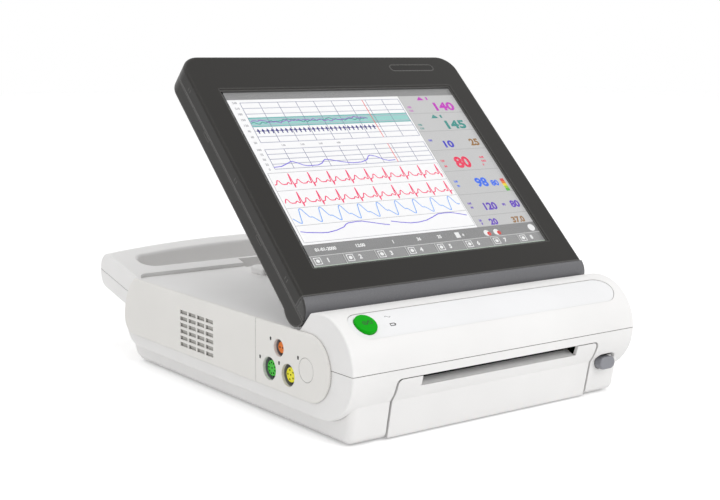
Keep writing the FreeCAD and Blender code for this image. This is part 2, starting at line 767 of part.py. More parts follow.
def make_upper_housing():
    seam = "seam_z + seam_gap"
    seam_rear = "blank_rear_z - handle_seam_drop + seam_gap"
    nose_seam_y = "nose_y - sqrt(nose_r^2 - seam_gap^2)"
    shell = Piece("upper_shell")
    shell.pad("yz", [[(nose_seam_y, seam, "-nose_r"), ("hump_back_y", "hump_back_z"),
                      ("deck_front_y", "deck_z"), ("ridge_front_y", "deck_z"),
                      ("blank_rear_y", "blank_rear_z"), ("blank_rear_y", seam_rear),
                      ("seam_bend_y", seam)]], "0", "2 * shell_half", both=True)
    shell.pad("xy", [bow_outline()], "0", "4 * hinge_z", cut=True, both=True)
    shell.round("handle_top_round", handle_edge(ridge_height))
    shell.round("side_round", shell_edge)
    bay_flat = "bay_half - bay_corner"
    bay_side = "bay_rear_y - bay_corner"
    shell.pad("xy", [[("-bay_half", "deck_front_y + overrun"), ("bay_half", "deck_front_y + overrun"),
                      ("bay_half", bay_side, "bay_corner"), (bay_flat, "bay_rear_y"),
                      (f"-({bay_flat})", "bay_rear_y", "bay_corner"), ("-bay_half", bay_side)]],
              "deck_z", "hinge_z", cut=True)
    shell.pad("xy", [hand_hole_outline()], "0", "4 * hinge_z", cut=True, both=True)
    shell.round("hole_edge_round", hole_rim)
    shell.box(("-finger_half", "bay_rear_y - overrun", "deck_z - finger_deep + wall"),
              ("finger_half", "bay_rear_y + finger_long", "hinge_z"), cut=True)
    shell.pad("yz", [[("nose_y - nose_in", "seam_z - overrun"), ("nose_y - nose_in", "seam_z", "-nose_in"),
                      ("back_in_y", "back_in_z"), ("deck_in_y", "deck_in_z"),
                      ("bay_rear_y - 3 * finger_long", "deck_in_z"),
                      ("bay_rear_y - 2 * finger_long", "deck_in_z - finger_deep"),
                      ("cavity_rear_y", "deck_in_z - finger_deep"), ("cavity_rear_y", "seam_z - overrun")]],
              "0", "2 * (shell_half - wall)", cut=True, both=True)
    for side in BOTH_SIDES:
        x = f"{side} * post_x"
        for y in ("post_front_y", "post_rear_y"):
            low = "post_joint_z + fit_gap"
            shell.rod("z", (x, y, low), "post_r", f"deck_z - wall / 2 - ({low})")
            shell.rod("z", (x, y, f"{low} - overrun"), "screw_r + running_gap",
                      "screw_bite + overrun", cut=True)
        for y in ("main_front_y + main_post_in", "main_rear_y - main_post_in"):
            low = "main_z + board_thick"
            shell.rod("z", (f"{side} * main_post_x", y, low), "main_post_r", f"deck_z - wall / 2 - ({low})")
        hinge = f"{side} * hinge_x"
        half = "bracket_half + fit_gap"
        shell.box((f"{hinge} - ({half})", "hinge_y - bracket_deep / 2 - fit_gap", "deck_in_z - overrun"),
                  (f"{hinge} + {half}", "hinge_y + bracket_deep / 2 + fit_gap", "hinge_z"), cut=True)
    cut_side_windows(shell)

    guide = Piece("power_guide", "label")
    guide.rod("z", ("power_x", "0", "-guide_deep"), "power_r + fit_gap + guide_wall",
              "guide_deep - wall / 2")
    recess = Piece("label_recess", "label")
    recess.pad("xy", [oblong("-label_half", "label_half", "0", "label_r")], "-nose_r / 2", "nose_r")
    recess.rod("x", ("-shell_half", "0", "-nose_r"), "label_floor_r", "2 * shell_half", cut=True)
    bores = Piece("hump_bores", "label")
    bores.rod("z", ("power_x", "0", "-nose_r / 2"), "power_r + fit_gap", "nose_r")
    for angle in ("light_high_angle", "light_low_angle"):
        bores.rod("z", light_start(angle), "light_r + running_gap", "nose_r / 2")
    fused = boolean("Fuse", "upper_shell_with_guide", shell, guide)
    recessed = boolean("Cut", "upper_shell_recessed", fused, recess)
    return boolean("Cut", "upper_housing", recessed, bores)


def light_start(angle):
    """Inner end of an indicator light, which stands level with the label's middle line."""
    return ("light_x", f"nose_r * sin({angle} - label_angle)", "-nose_r / 4")


def make_lower_housing():
    seam_rear = "blank_rear_z - handle_seam_drop"
    under_front = "deck_z + (rear_wall_y - ridge_front_y) * ridge_grade - handle_thick"
    under_rear = "blank_rear_z - handle_thick"
    shell = Piece("lower_housing")
    shell.pad("yz", [[("0", "0"), ("rear_wall_y - base_rear_round", "0", "base_rear_round"),
                      ("rear_wall_y", "base_rear_round"), ("rear_wall_y", "base_top_z"),
                      ("nose_y", "base_top_z"), ("crease_y", "crease_z")]], "0", "2 * base_half", both=True)
    base_side = on_value("base_half", "x", mirrored=True)
    shell.round("base_edge", lambda edge: base_side(edge) and middle(edge).z < value("crease_z"))
    shell.pad("yz", [[("nose_front", "seam_z", "nose_r"), ("nose_y", "ledge_z"),
                      ("rear_wall_y - rear_round", "ledge_z", "rear_round"),
                      ("rear_wall_y", "ledge_z + rear_round"), ("rear_wall_y", under_front),
                      ("blank_rear_y", under_rear), ("blank_rear_y", seam_rear),
                      ("seam_bend_y", "seam_z")]], "0", "2 * shell_half", both=True)
    shell.pad("xy", [bow_outline()], "0", "4 * hinge_z", cut=True, both=True)
    shell.round("handle_under_round", handle_edge(lambda y: ridge_height(y) - value("handle_thick")))
    shell.round("side_round", shell_edge)
    shell.pad("xy", [hand_hole_outline()], "base_top_z", "hinge_z", cut=True)
    shell.pad("yz", [[("nose_y - nose_in", "seam_z + overrun"), ("nose_y - nose_in", "seam_z", "nose_in"),
                      ("nose_y", "ledge_z + wall"), ("rear_wall_y - rear_round", "ledge_z + wall",
                                                     "rear_round - wall"),
                      ("rear_wall_y - wall", "ledge_z + rear_round"), ("rear_wall_y - wall", "seam_z"),
                      ("seam_bend_y", "seam_z"), ("seam_bend_y", "seam_z + overrun")]],
              "0", "2 * (shell_half - wall)", cut=True, both=True)
    shell.pad("yz", [[("wall", "wall"), ("rear_wall_y - base_rear_round", "wall", "base_rear_round - wall"),
                      ("rear_wall_y - wall", "base_rear_round"), ("rear_wall_y - wall", "base_top_z - wall"),
                      ("nose_y", "base_top_z - wall"), ("crease_y + wall", "crease_z")]],
              "0", "2 * (base_half - wall)", cut=True, both=True)
    opening_flat, opening_side = "opening_half - opening_corner", "opening_top_z - opening_corner"
    shell.pad("xz", [[("-opening_half", "-overrun"), ("opening_half", "-overrun"),
                      ("opening_half", opening_side, "opening_corner"), (opening_flat, "opening_top_z"),
                      (f"-({opening_flat})", "opening_top_z", "opening_corner"),
                      ("-opening_half", opening_side)]],
              "nose_front - overrun", "drawer_return + drawer_gap - nose_front + overrun", cut=True)
    for side in BOTH_SIDES:
        for y in ("post_front_y", "post_rear_y"):
            x = f"{side} * post_x"
            shell.rod("z", (x, y, "wall / 2"), "post_r", "post_joint_z - wall / 2")
            shell.rod("z", (x, y, "-overrun"), "screw_hole_r", "post_joint_z + 2 * overrun", cut=True)
            shell.rod("z", (x, y, "-overrun"), "head_r + fit_gap", "head_sink + overrun", cut=True)
        for y in ("foot_front_y", "foot_middle_y", "foot_rear_y"):
            shell.rod("z", (f"{side} * foot_x", y, "-overrun"), "foot_r + fit_gap",
                      "foot_sunk + overrun", cut=True)
    for x in ("supply_low_x + supply_post_in", "supply_high_x - supply_post_in"):
        for y in ("supply_front_y + supply_post_in", "supply_rear_y - supply_post_in"):
            shell.rod("z", (x, y, "wall / 2"), "supply_post_r", "supply_z - wall / 2")
    shell.box(("battery_low_x - lid_border", "battery_front_y - lid_border", "-overrun"),
              ("battery_high_x + lid_border", "battery_rear_y + lid_border", "wall + overrun"), cut=True)
    cut_side_windows(shell)
    make_release_guide(shell)
    make_rear_cutouts(shell)
    return shell.body


def make_release_guide(shell):
    """The well and hole for the release button, and the plate behind that guides its stem."""
    shell.box(("release_x - post_plate_half", "post_plate_y", "wall / 2"),
              ("release_x + post_plate_half", "post_plate_y + post_plate_thick", "post_plate_high_z"))
    well = oblong("release_x - release_well_half", "release_x + release_well_half", "release_z",
                  "release_well_r")
    shell.pad("xz", [well], "nose_front - overrun", "release_well_y - nose_front + overrun", cut=True)
    shell.pad("xz", [oblong("release_x - release_half - fit_gap", "release_x + release_half + fit_gap",
                            "release_z", "release_r + fit_gap")],
              "nose_front - overrun", "release_flange_y - nose_front + 2 * overrun", cut=True)
    shell.rod("y", ("release_x", "post_plate_y - overrun", "release_z"), "release_stem_r + fit_gap",
              "post_plate_thick + 2 * overrun", cut=True)


def make_rear_cutouts(shell):
    """Openings in the rear wall for the mains inlet, the network port and the earth stud."""
    near, far = "rear_wall_y - wall - overrun", "rear_wall_y + overrun"
    shell.box(("inlet_x - inlet_half - fit_gap", near, "rear_row_z - inlet_tall_half - fit_gap"),
              ("inlet_x + inlet_half + fit_gap", far, "rear_row_z + inlet_tall_half + fit_gap"), cut=True)
    shell.box(("port_x - port_half - fit_gap", near, "rear_row_z - port_tall_half - fit_gap"),
              ("port_x + port_half + fit_gap", far, "rear_row_z + port_tall_half + fit_gap"), cut=True)
    shell.rod("y", ("stud_x", near, "rear_row_z"), "stud_r + running_gap", "wall + 2 * overrun", cut=True)


def make_feet():
    feet = Piece("rubber_feet")
    for side in BOTH_SIDES:
        for y in ("foot_front_y", "foot_middle_y", "foot_rear_y"):
            feet.rod("z", (f"{side} * foot_x", y, "-foot_proud"), "foot_r", "foot_proud + foot_sunk")
    return feet.body


def make_housing_screws():
    screws = Piece("housing_screws")
    for side in BOTH_SIDES:
        for y in ("post_front_y", "post_rear_y"):
            x = f"{side} * post_x"
            screws.rod("z", (x, y, "head_sink - head_tall"), "head_r", "head_tall")
            screws.rod("z", (x, y, "head_sink - running_gap"), "screw_r",
                       "post_joint_z - head_sink + screw_bite")
    return screws.body


SOCKET_NAMES = ("upper_socket", "rear_socket", "front_socket")


def across(side, near_x, far_x):
    """Lower and upper x of a span that runs outwards from near_x to far_x on one side."""
    return (near_x, far_x) if side == RIGHT else (f"-({far_x})", f"-({near_x})")


def panel_pad(panel, side, outlines, near_x, far_x, cut=False):
    low, high = across(side, near_x, far_x)
    panel.pad("yz", outlines, low, f"({high}) - ({low})", cut=cut)


def make_socket_panel(side, label):
    front = "panel_front_y - panel_r"
    split = "panel_split_y - fit_gap / 2"
    panel = Piece(label)
    panel_pad(panel, side, [[(split, "panel_low_z"), (split, "panel_high_z"),
                             ("panel_front_y", "panel_high_z", "panel_r"), (front, "panel_mid_z", "panel_r"),
                             ("panel_front_y", "panel_low_z")]], "shell_half", "panel_face")
    face = value(f"{side} * panel_face")
    split_y = value(split)
    panel.round("panel_edge", lambda edge: all(abs(v.X - face) < NEAR for v in edge.Vertexes)
                and abs(middle(edge).y - split_y) > NEAR)
    holes = [circle(f"{name}_y", f"{name}_z", f"{name}_r") for name in SOCKET_NAMES]
    holes.append(circle("spare_socket_y", "spare_socket_z", "spare_socket_r"))
    panel_pad(panel, side, holes, "shell_half - overrun", "panel_face + overrun", cut=True)
    return panel.body


def make_vent_panel(side, label):
    split = "panel_split_y + fit_gap / 2"
    panel = Piece(label)
    panel_pad(panel, side, [[(split, "panel_low_z"),
                             ("panel_rear_y - panel_corner", "panel_low_z", "panel_corner"),
                             ("panel_rear_y", "panel_rear_z", "panel_rear_arc"),
                             ("panel_rear_high_y", "panel_high_z"), (split, "panel_high_z")]],
              "shell_half", "panel_face")
    face = value(f"{side} * panel_face")
    split_y = value(split)
    panel.round("panel_edge", lambda edge: all(abs(v.X - face) < NEAR for v in edge.Vertexes)
                and abs(middle(edge).y - split_y) > NEAR)
    slots = []
    for column in range(4):
        for row in range(6):
            y = f"vent_first_y + {column} * vent_step_y"
            z = f"vent_first_z + {row} * vent_step_z"
            slots.append(rectangle(y, f"{y} + vent_long", z, f"{z} + vent_tall"))
    panel_pad(panel, side, slots, "shell_half - overrun", "panel_face + overrun", cut=True)
    return panel.body


def make_sleeves(side, label):
    """Grey wells behind the panel's holes, seated on the board inside."""
    sleeves = Piece(label)
    for name in SOCKET_NAMES:
        panel_pad(sleeves, side, [circle(f"{name}_y", f"{name}_z", f"{name}_r + socket_wall")],
                  "socket_board_x", "shell_half")
        panel_pad(sleeves, side, [circle(f"{name}_y", f"{name}_z", f"{name}_r - insert_step")],
                  "socket_board_x - overrun", "shell_half + overrun", cut=True)
        panel_pad(sleeves, side, [circle(f"{name}_y", f"{name}_z", f"{name}_r")],
                  "socket_floor_x", "shell_half + overrun", cut=True)
    return sleeves.body


def add_insert(insert, side, name, ring_count, ring_share, centre):
    """A contact block in a well, with a ring of contact holes and perhaps one in the middle."""
    radius = f"{name}_r - insert_step - running_gap"
    panel_pad(insert, side, [circle(f"{name}_y", f"{name}_z", radius)], "socket_board_x", "socket_floor_x")
    holes = []
    for index in range(ring_count):
        turn = f"{index} * 360 / {ring_count}"
        holes.append(circle(f"{name}_y + {name}_r * {ring_share} * cos({turn})",
                            f"{name}_z + {name}_r * {ring_share} * sin({turn})", "contact_r"))
    if centre:
        holes.append(circle(f"{name}_y", f"{name}_z", "contact_r"))
    panel_pad(insert, side, holes, "socket_floor_x - contact_deep", "socket_floor_x + overrun", cut=True)


def make_inserts():
    """Contact blocks: two holes in the marker socket, a full ring in each probe socket."""
    marker_ring_share, probe_ring_share = 0.36, 0.62
    made = []
    for label, name, ring_count, ring_share, centre in (
            ("orange_socket_insert", "upper_socket", 2, marker_ring_share, False),
            ("green_socket_insert", "rear_socket", 9, probe_ring_share, True),
            ("yellow_socket_insert", "front_socket", 5, probe_ring_share, True)):
        insert = Piece(label)
        add_insert(insert, LEFT, name, ring_count, ring_share, centre)
        made.append(insert.body)
    right = Piece("right_socket_inserts")
    for name, ring_count, ring_share, centre in (
            ("upper_socket", 2, marker_ring_share, False),
            ("rear_socket", 5, probe_ring_share, True),
            ("front_socket", 7, probe_ring_share, False)):
        add_insert(right, RIGHT, name, ring_count, ring_share, centre)
    made.append(right.body)
    return made


def make_blank_plug():
    plug = Piece("blank_plug")
    panel_pad(plug, LEFT, [circle("spare_socket_y", "spare_socket_z", "spare_socket_r - blank_gap")],
              "socket_board_x", "panel_face - running_gap")
    return plug.body


def make_hose_fitting():
    """The cuff's air fitting: a collar in the panel and a spigot with its bore."""
    fitting = Piece("cuff_hose_fitting")
    at = ("spare_socket_y", "spare_socket_z")
    panel_pad(fitting, RIGHT, [circle(*at, "spare_socket_r - blank_gap")], "socket_board_x",
              "socket_floor_x")
    panel_pad(fitting, RIGHT, [circle(*at, "hose_r")], "socket_floor_x - wall", "panel_face - hose_proud")
    panel_pad(fitting, RIGHT, [circle(*at, "hose_bore_r")], "socket_board_x + wall", "panel_face + overrun",
              cut=True)
    return fitting.body


def make_socket_board(side, label):
    """The upright board that the sockets on one side are soldered to, standing on two feet."""
    board = Piece(label)
    low, high = across(side, "socket_board_x - board_thick", "socket_board_x")
    front = "spare_socket_y - spare_socket_r"
    rear = "rear_socket_y + rear_socket_r + window_border"
    board.box((low, front, "ledge_z + wall"),
              (high, rear, "upper_socket_z + upper_socket_r + window_border"))
    back = "socket_board_x - board_thick"
    chip_low, chip_high = across(side, f"{back} - chip_tall", back)
    board.box((chip_low, "front_socket_y - chip_half / 2", "front_socket_z - chip_half / 2"),
              (chip_high, "front_socket_y + chip_half / 2", "front_socket_z + chip_half / 2"))
    return board.body


def make_label_plate():
    """A thin plate bent to the hump, in its recess, with holes for the button and the lights."""
    blank = Piece("label_blank", "label")
    blank.pad("xy", [oblong("-label_half + fit_gap", "label_half - fit_gap", "0", "label_r - fit_gap")],
              "-nose_r / 2", "nose_r")
    blank.rod("x", ("-shell_half", "0", "-nose_r"), "label_floor_r + running_gap", "2 * shell_half",
              cut=True)
    blank.rod("z", ("power_x", "0", "-nose_r"), "power_r + fit_gap", "2 * nose_r", cut=True)
    for angle in ("light_high_angle", "light_low_angle"):
        blank.rod("z", light_start(angle), "light_r + running_gap", "nose_r", cut=True)
    bar = Piece("label_bar", "label")
    bar.rod("x", ("-shell_half", "0", "-nose_r"), "label_floor_r + label_thick", "2 * shell_half")
    return boolean("Common", "label_plate", blank, bar)


def make_lights():
    """Two clear light pipes, flush with the label plate."""
    pipes = Piece("light_rods", "label")
    for angle in ("light_high_angle", "light_low_angle"):
        pipes.rod("z", light_start(angle), "light_r", "nose_r / 2")
    bar = Piece("light_bar", "label")
    bar.rod("x", ("-shell_half", "0", "-nose_r"), "label_floor_r + label_thick", "2 * shell_half")
    return boolean("Common", "light_pipes", pipes, bar)


def make_power_button():
    button = Piece("power_button", "label")
    button.rod("z", ("power_x", "0", "-power_tall"), "power_r", "power_tall + power_proud")
    top = on_value("power_proud", "z")
    button.round("power_dome", top)
    return button.body


def make_key_board():
    board = Piece("key_board", "label")
    board.box(("power_x - key_board_half", "-key_board_half", "-guide_deep - board_thick"),
              ("power_x + key_board_half", "key_board_half", "-guide_deep"))
    return board.body


def make_power_dome():
    """The rubber dome that carries the power button and sends it back."""
    dome = Piece("power_dome", "label")
    dome.rod("z", ("power_x", "0", "-guide_deep"), "dome_r", "guide_deep - power_tall - running_gap")
    return dome.body


def make_drawer_front():
    """The drawer's front: nose curve above the crease, slanted face below, two sides and the paper slot."""
    front = Piece("drawer_front")
    skin = "drawer_skin"
    front.pad("yz", [[("drawer_top_y", "drawer_top_z", "nose_r"), ("crease_y", "crease_z"), ("0", "0"),
                      ("drawer_return", "0"), ("drawer_return", skin), (skin, skin),
                      ("drawer_in_crease_y", "crease_z", "-drawer_in_r"),
                      ("drawer_in_top_y", "drawer_top_z")]], "0", "2 * drawer_half", both=True)
    beside, below = "drawer_half - drawer_corner", "drawer_top_z - drawer_corner"
    corners = [[(f"{side} * ({beside})", "drawer_top_z", f"-({side}) * drawer_corner"),
                (f"{side} * drawer_half", below), (f"{side} * (drawer_half + overrun)", below),
                (f"{side} * (drawer_half + overrun)", "drawer_top_z + overrun"),
                (f"{side} * ({beside})", "drawer_top_z + overrun")] for side in BOTH_SIDES]
    front.pad("xz", corners, "nose_front - overrun", "drawer_return - nose_front + overrun", cut=True)
    for start in ("-drawer_half", f"drawer_half - {skin}"):
        front.pad("yz", [[("drawer_in_crease_y", "crease_z"), (skin, f"{skin} / 2"), ("drawer_return", f"{skin} / 2"),
                          ("drawer_return", "crease_z")]], start, skin)
    front.box(("-slot_half", "nose_front - overrun", "slot_low_z"),
              ("slot_half", "0", "drawer_top_z + overrun"), cut=True)
    front.pad("yz", [[("slot_low_y", "slot_low_z - slot_ramp_thick"),
                      ("slot_ramp_y", "slot_low_z + slot_ramp_rise - slot_ramp_thick"),
                      ("slot_ramp_y", "slot_low_z + slot_ramp_rise"), ("slot_low_y", "slot_low_z")]],
              "0", "2 * slot_half", both=True)
    rib_low, rib_high = "tray_low_z + tray_wall", "tray_lip_z - tray_wall"
    front.pad("yz", [[("drawer_skin / 2", rib_low), ("tray_front_y", rib_low), ("tray_front_y", rib_high),
                      ("crease_y + drawer_skin / 2", rib_high)]], "0", "2 * tray_rib_half", both=True)
    return front.body


def make_paper_tray():
    tray = Piece("paper_tray")
    tray.box(("-tray_half", "tray_front_y", "tray_low_z"), ("tray_half", "tray_rear_y", "tray_high_z"))
    inner = "tray_half - tray_wall"
    tray.box((f"-({inner})", "tray_front_y + tray_wall", "tray_low_z + tray_wall"),
             (inner, "tray_rear_y - tray_wall", "tray_high_z + overrun"), cut=True)
    tray.box((f"-({inner})", "tray_front_y - overrun", "tray_lip_z"),
             (inner, "tray_front_y + tray_wall + overrun", "tray_high_z + overrun"), cut=True)
    for side in BOTH_SIDES:
        low, high = across(side, inner, "tray_half")
        tray.box((low, "tray_front_y", "tray_lip_z"), (high, "tray_front_y + ear_long", "ear_high_z"))
        low, high = across(side, "tray_half - tray_wall / 2", "tray_half + runner_wide")
        tray.box((low, "rail_front_y", "runner_z"), (high, "tray_rear_y", "runner_z + runner_thick"))
    tray.rod("x", ("-tray_half - overrun", "platen_y", "platen_z"), "shaft_r + running_gap",
             "2 * (tray_half + overrun)", cut=True)
    return tray.body


def make_paper_pack():
    """The folded paper, with the steps of its sheets along the front and rear."""
    pack = Piece("paper_pack")
    low_z = "tray_low_z + tray_wall + fit_gap"
    pack.box(("-paper_half", "paper_front_y", low_z),
             ("paper_half", "paper_front_y + paper_long", f"{low_z} + paper_tall"))
    return pack.body


def make_rails():
    rails = Piece("drawer_rails")
    for side in BOTH_SIDES:
        low, high = across(side, "rail_x", "rail_x + rail_wide")
        rails.box((low, "rail_front_y", "wall"), (high, "rail_rear_y", "wall + rail_tall"))
    return rails.body


def make_platen():
    shaft = Piece("platen_shaft", "platen")
    shaft.rod("x", ("-tray_half - tray_wall", "0", "0"), "shaft_r",
              "tray_half + tray_wall + gear_x + gear_wide")
    rubber = Piece("platen_rubber", "platen")
    rubber.rod("x", ("-platen_half", "0", "0"), "platen_r", "2 * platen_half")
    rubber.rod("x", ("-platen_half - overrun", "0", "0"), "shaft_r", "2 * (platen_half + overrun)", cut=True)
    return [shaft.body, rubber.body]


def add_gear(piece, teeth):
    """A spur gear about X with straight-flanked teeth, thin enough to run with play."""
    pitch_r = f"gear_module * {teeth} / 2"
    tip_r = f"{pitch_r} + gear_module * tooth_tip_share"
    root_r = f"{pitch_r} - gear_module * tooth_root_share"
    half = "gear_module * pi * tooth_share / 2"
    tip_half = f"{half} - gear_module * tooth_tip_share * tan(tooth_flank)"
    root_half = f"{half} + gear_module * tooth_root_share * tan(tooth_flank)"
    sunk_r = f"{root_r} - gear_module * tooth_root_share / 2"
    piece.rod("x", ("gear_x", "0", "0"), root_r, "gear_wide")
    piece.pad("yz", [[(sunk_r, f"-({root_half})"), (root_r, f"-({root_half})"), (tip_r, f"-({tip_half})"),
                      (tip_r, tip_half), (root_r, root_half), (sunk_r, root_half)]], "gear_x", "gear_wide")
    piece.around(teeth)


def make_gears():
    platen = Piece("platen_gear", "platen")
    add_gear(platen, "platen_teeth")
    platen.rod("x", ("gear_x - overrun", "0", "0"), "shaft_r", "gear_wide + 2 * overrun", cut=True)
    idler = Piece("idler_gear", "idler")
    add_gear(idler, "idler_teeth")
    idler.rod("x", ("gear_x - overrun", "0", "0"), "axle_r + running_gap", "gear_wide + 2 * overrun",
              cut=True)
    pinion = Piece("motor_pinion", "pinion")
    add_gear(pinion, "pinion_teeth")
    pinion.rod("x", ("gear_x", "0", "0"), "pinion_shaft_r",
               "chassis_x + chassis_thick + motor_bore_deep - running_gap - gear_x")
    return [platen.body, idler.body, pinion.body]


def make_chassis():
    """Folded steel frame over the drawer: two cheeks, a top plate and the idler's axle."""
    chassis = Piece("printer_chassis")
    outer = "chassis_x + chassis_thick"
    chassis.box((f"-({outer})", "chassis_lip_y", "chassis_plate_z"),
                (outer, "chassis_rear_y", "chassis_high_z"))
    for side in BOTH_SIDES:
        low, high = across(side, "chassis_x", outer)
        chassis.box((low, "chassis_front_y", "wall"), (high, "chassis_rear_y", "chassis_high_z"))
    chassis.rod("x", ("gear_x - gear_wide / 4", "idler_y", "platen_z"), "axle_r",
                "chassis_x + chassis_thick / 2 - gear_x + gear_wide / 4")
    chassis.rod("x", ("chassis_x - overrun", "pinion_y", "platen_z"), "pinion_shaft_r + fit_gap",
                "chassis_thick + 2 * overrun", cut=True)
    return chassis.body


def make_motor():
    motor = Piece("stepper_motor")
    face = "chassis_x + chassis_thick"
    motor.rod("x", (face, "pinion_y", "platen_z"), "motor_r", "motor_long")
    motor.box((face, "pinion_y - motor_ear_half", "platen_z - motor_r / 3"),
              (f"{face} + motor_ear_thick", "pinion_y + motor_ear_half", "platen_z + motor_r / 3"))
    motor.rod("x", (f"{face} - overrun", "pinion_y", "platen_z"), "pinion_shaft_r + running_gap",
              "motor_bore_deep + overrun", cut=True)
    return motor.body


def make_print_head():
    rear = "head_front_y + head_long"
    head = Piece("print_head")
    head.box(("-head_half", "head_front_y", "head_z"), ("head_half", rear, "sink_z"))
    sink = Piece("head_heatsink")
    sink.box(("-head_half", "head_front_y", "sink_z"), ("head_half", rear, "spring_z"))
    fin_step = "head_long / 7"
    for fin in (1, 3, 5):
        sink.box(("-head_half - overrun", f"head_front_y + {fin} * {fin_step}", "sink_z + sink_tall / 2"),
                 ("head_half + overrun", f"head_front_y + {fin + 1} * {fin_step}", "spring_z + overrun"),
                 cut=True)
    springs = Piece("head_springs")
    for side in BOTH_SIDES:
        at = (f"{side} * head_spring_x", "head_front_y + head_long / 2", "spring_z")
        springs.rod("z", at, "head_spring_r", "chassis_plate_z - spring_z")
    for side in BOTH_SIDES:
        at = (f"{side} * head_spring_x", "head_front_y + head_long / 2", "spring_z - overrun")
        springs.rod("z", at, "head_spring_r * 2 / 3", "chassis_plate_z - spring_z + 2 * overrun", cut=True)
    return [head.body, sink.body, springs.body]


def make_release_button():
    button = Piece("release_button")
    cap = oblong("release_x - release_half", "release_x + release_half", "release_z", "release_r")
    button.pad("xz", [cap], "release_front_y", "release_flange_y - release_front_y")
    button.round("release_r / 4", on_value("release_front_y", "y"))
    lip_half = "release_half + release_lip"
    lip = oblong(f"release_x - ({lip_half})", f"release_x + {lip_half}", "release_z",
                 "release_r + release_lip")
    button.pad("xz", [lip], "release_flange_y", "release_flange")
    button.rod("y", ("release_x", "release_back_y", "release_z"), "release_stem_r",
               "release_stem_y - release_back_y")
    spring = Piece("release_spring")
    length = "post_plate_y - release_back_y - 2 * running_gap"
    start = "release_back_y + running_gap"
    spring.rod("y", ("release_x", start, "release_z"), "release_stem_r + fit_gap + socket_wall", length)
    spring.rod("y", ("release_x", f"{start} - overrun", "release_z"), "release_stem_r + fit_gap",
               f"{length} + 2 * overrun", cut=True)
    return [button.body, spring.body]


def screen_outline(inset, low="0"):
    """Plan outline of the screen above a low edge, its top corners round, drawn in by an inset."""
    half = f"screen_half - {inset}"
    top = f"screen_long - {inset}"
    corner = f"screen_corner - {inset}"
    flat = "screen_half - screen_corner"
    side = "screen_long - screen_corner"
    return [(f"-({half})", low), (half, low), (half, side, corner), (flat, top),
            (f"-({flat})", top, corner), (f"-({half})", side)]


def make_bezel():
    bezel = Piece("front_bezel", "screen")
    bezel.pad("xy", [screen_outline("0")], "screen_seam_z", "chin_r - screen_seam_z")
    front = on_value("chin_r", "z")
    bezel.round("bezel_round", lambda edge: front(edge) and middle(edge).y > NEAR)
    bezel.pad("xy", [screen_outline("screen_wall", "-overrun")], "screen_seam_z - overrun",
              "chin_r - screen_wall - screen_seam_z + overrun", cut=True)
    view = rectangle("-view_half", "view_half", "lcd_y - view_tall_half", "lcd_y + view_tall_half")
    bezel.pad("xy", [view], "0", "chin_r + overrun", cut=True)
    inside = value("view_half") + NEAR
    tall = value("view_tall_half") + NEAR
    centre = value("lcd_y")
    bezel.bevel("view_bevel", lambda edge: front(edge) and abs(middle(edge).x) < inside
                and abs(middle(edge).y - centre) < tall)
    bezel.pad("xy", [oblong("lamp_x - lamp_half", "lamp_x + lamp_half", "lamp_y", "lamp_r")],
              "0", "chin_r + overrun", cut=True)
    return bezel.body


def make_lamp():
    lamp = Piece("alarm_lamp", "screen")
    gap = "running_gap"
    lamp.pad("xy", [oblong(f"lamp_x - lamp_half + {gap}", f"lamp_x + lamp_half - {gap}", "lamp_y",
                           f"lamp_r - {gap}")], "chin_r - screen_wall", "screen_wall - lamp_proud")
    return lamp.body


def make_chin_trim():
    """The quarter-round trim along the foot of the screen."""
    trim = Piece("chin_trim", "screen")
    trim.rod("x", ("-screen_half", "0", "0"), "chin_r", "2 * screen_half")
    trim.rod("x", ("-screen_half + screen_wall", "0", "0"), "chin_r - screen_wall",
             "2 * (screen_half - screen_wall)", cut=True)
    side = "screen_half + overrun"
    reach = "chin_r + overrun"
    trim.box((f"-({side})", "-screen_seam_gap", f"-({reach})"), (side, reach, reach), cut=True)
    trim.box((f"-({side})", f"-({reach})", f"-({reach})"), (side, reach, "screen_seam_z"), cut=True)
    return trim.body


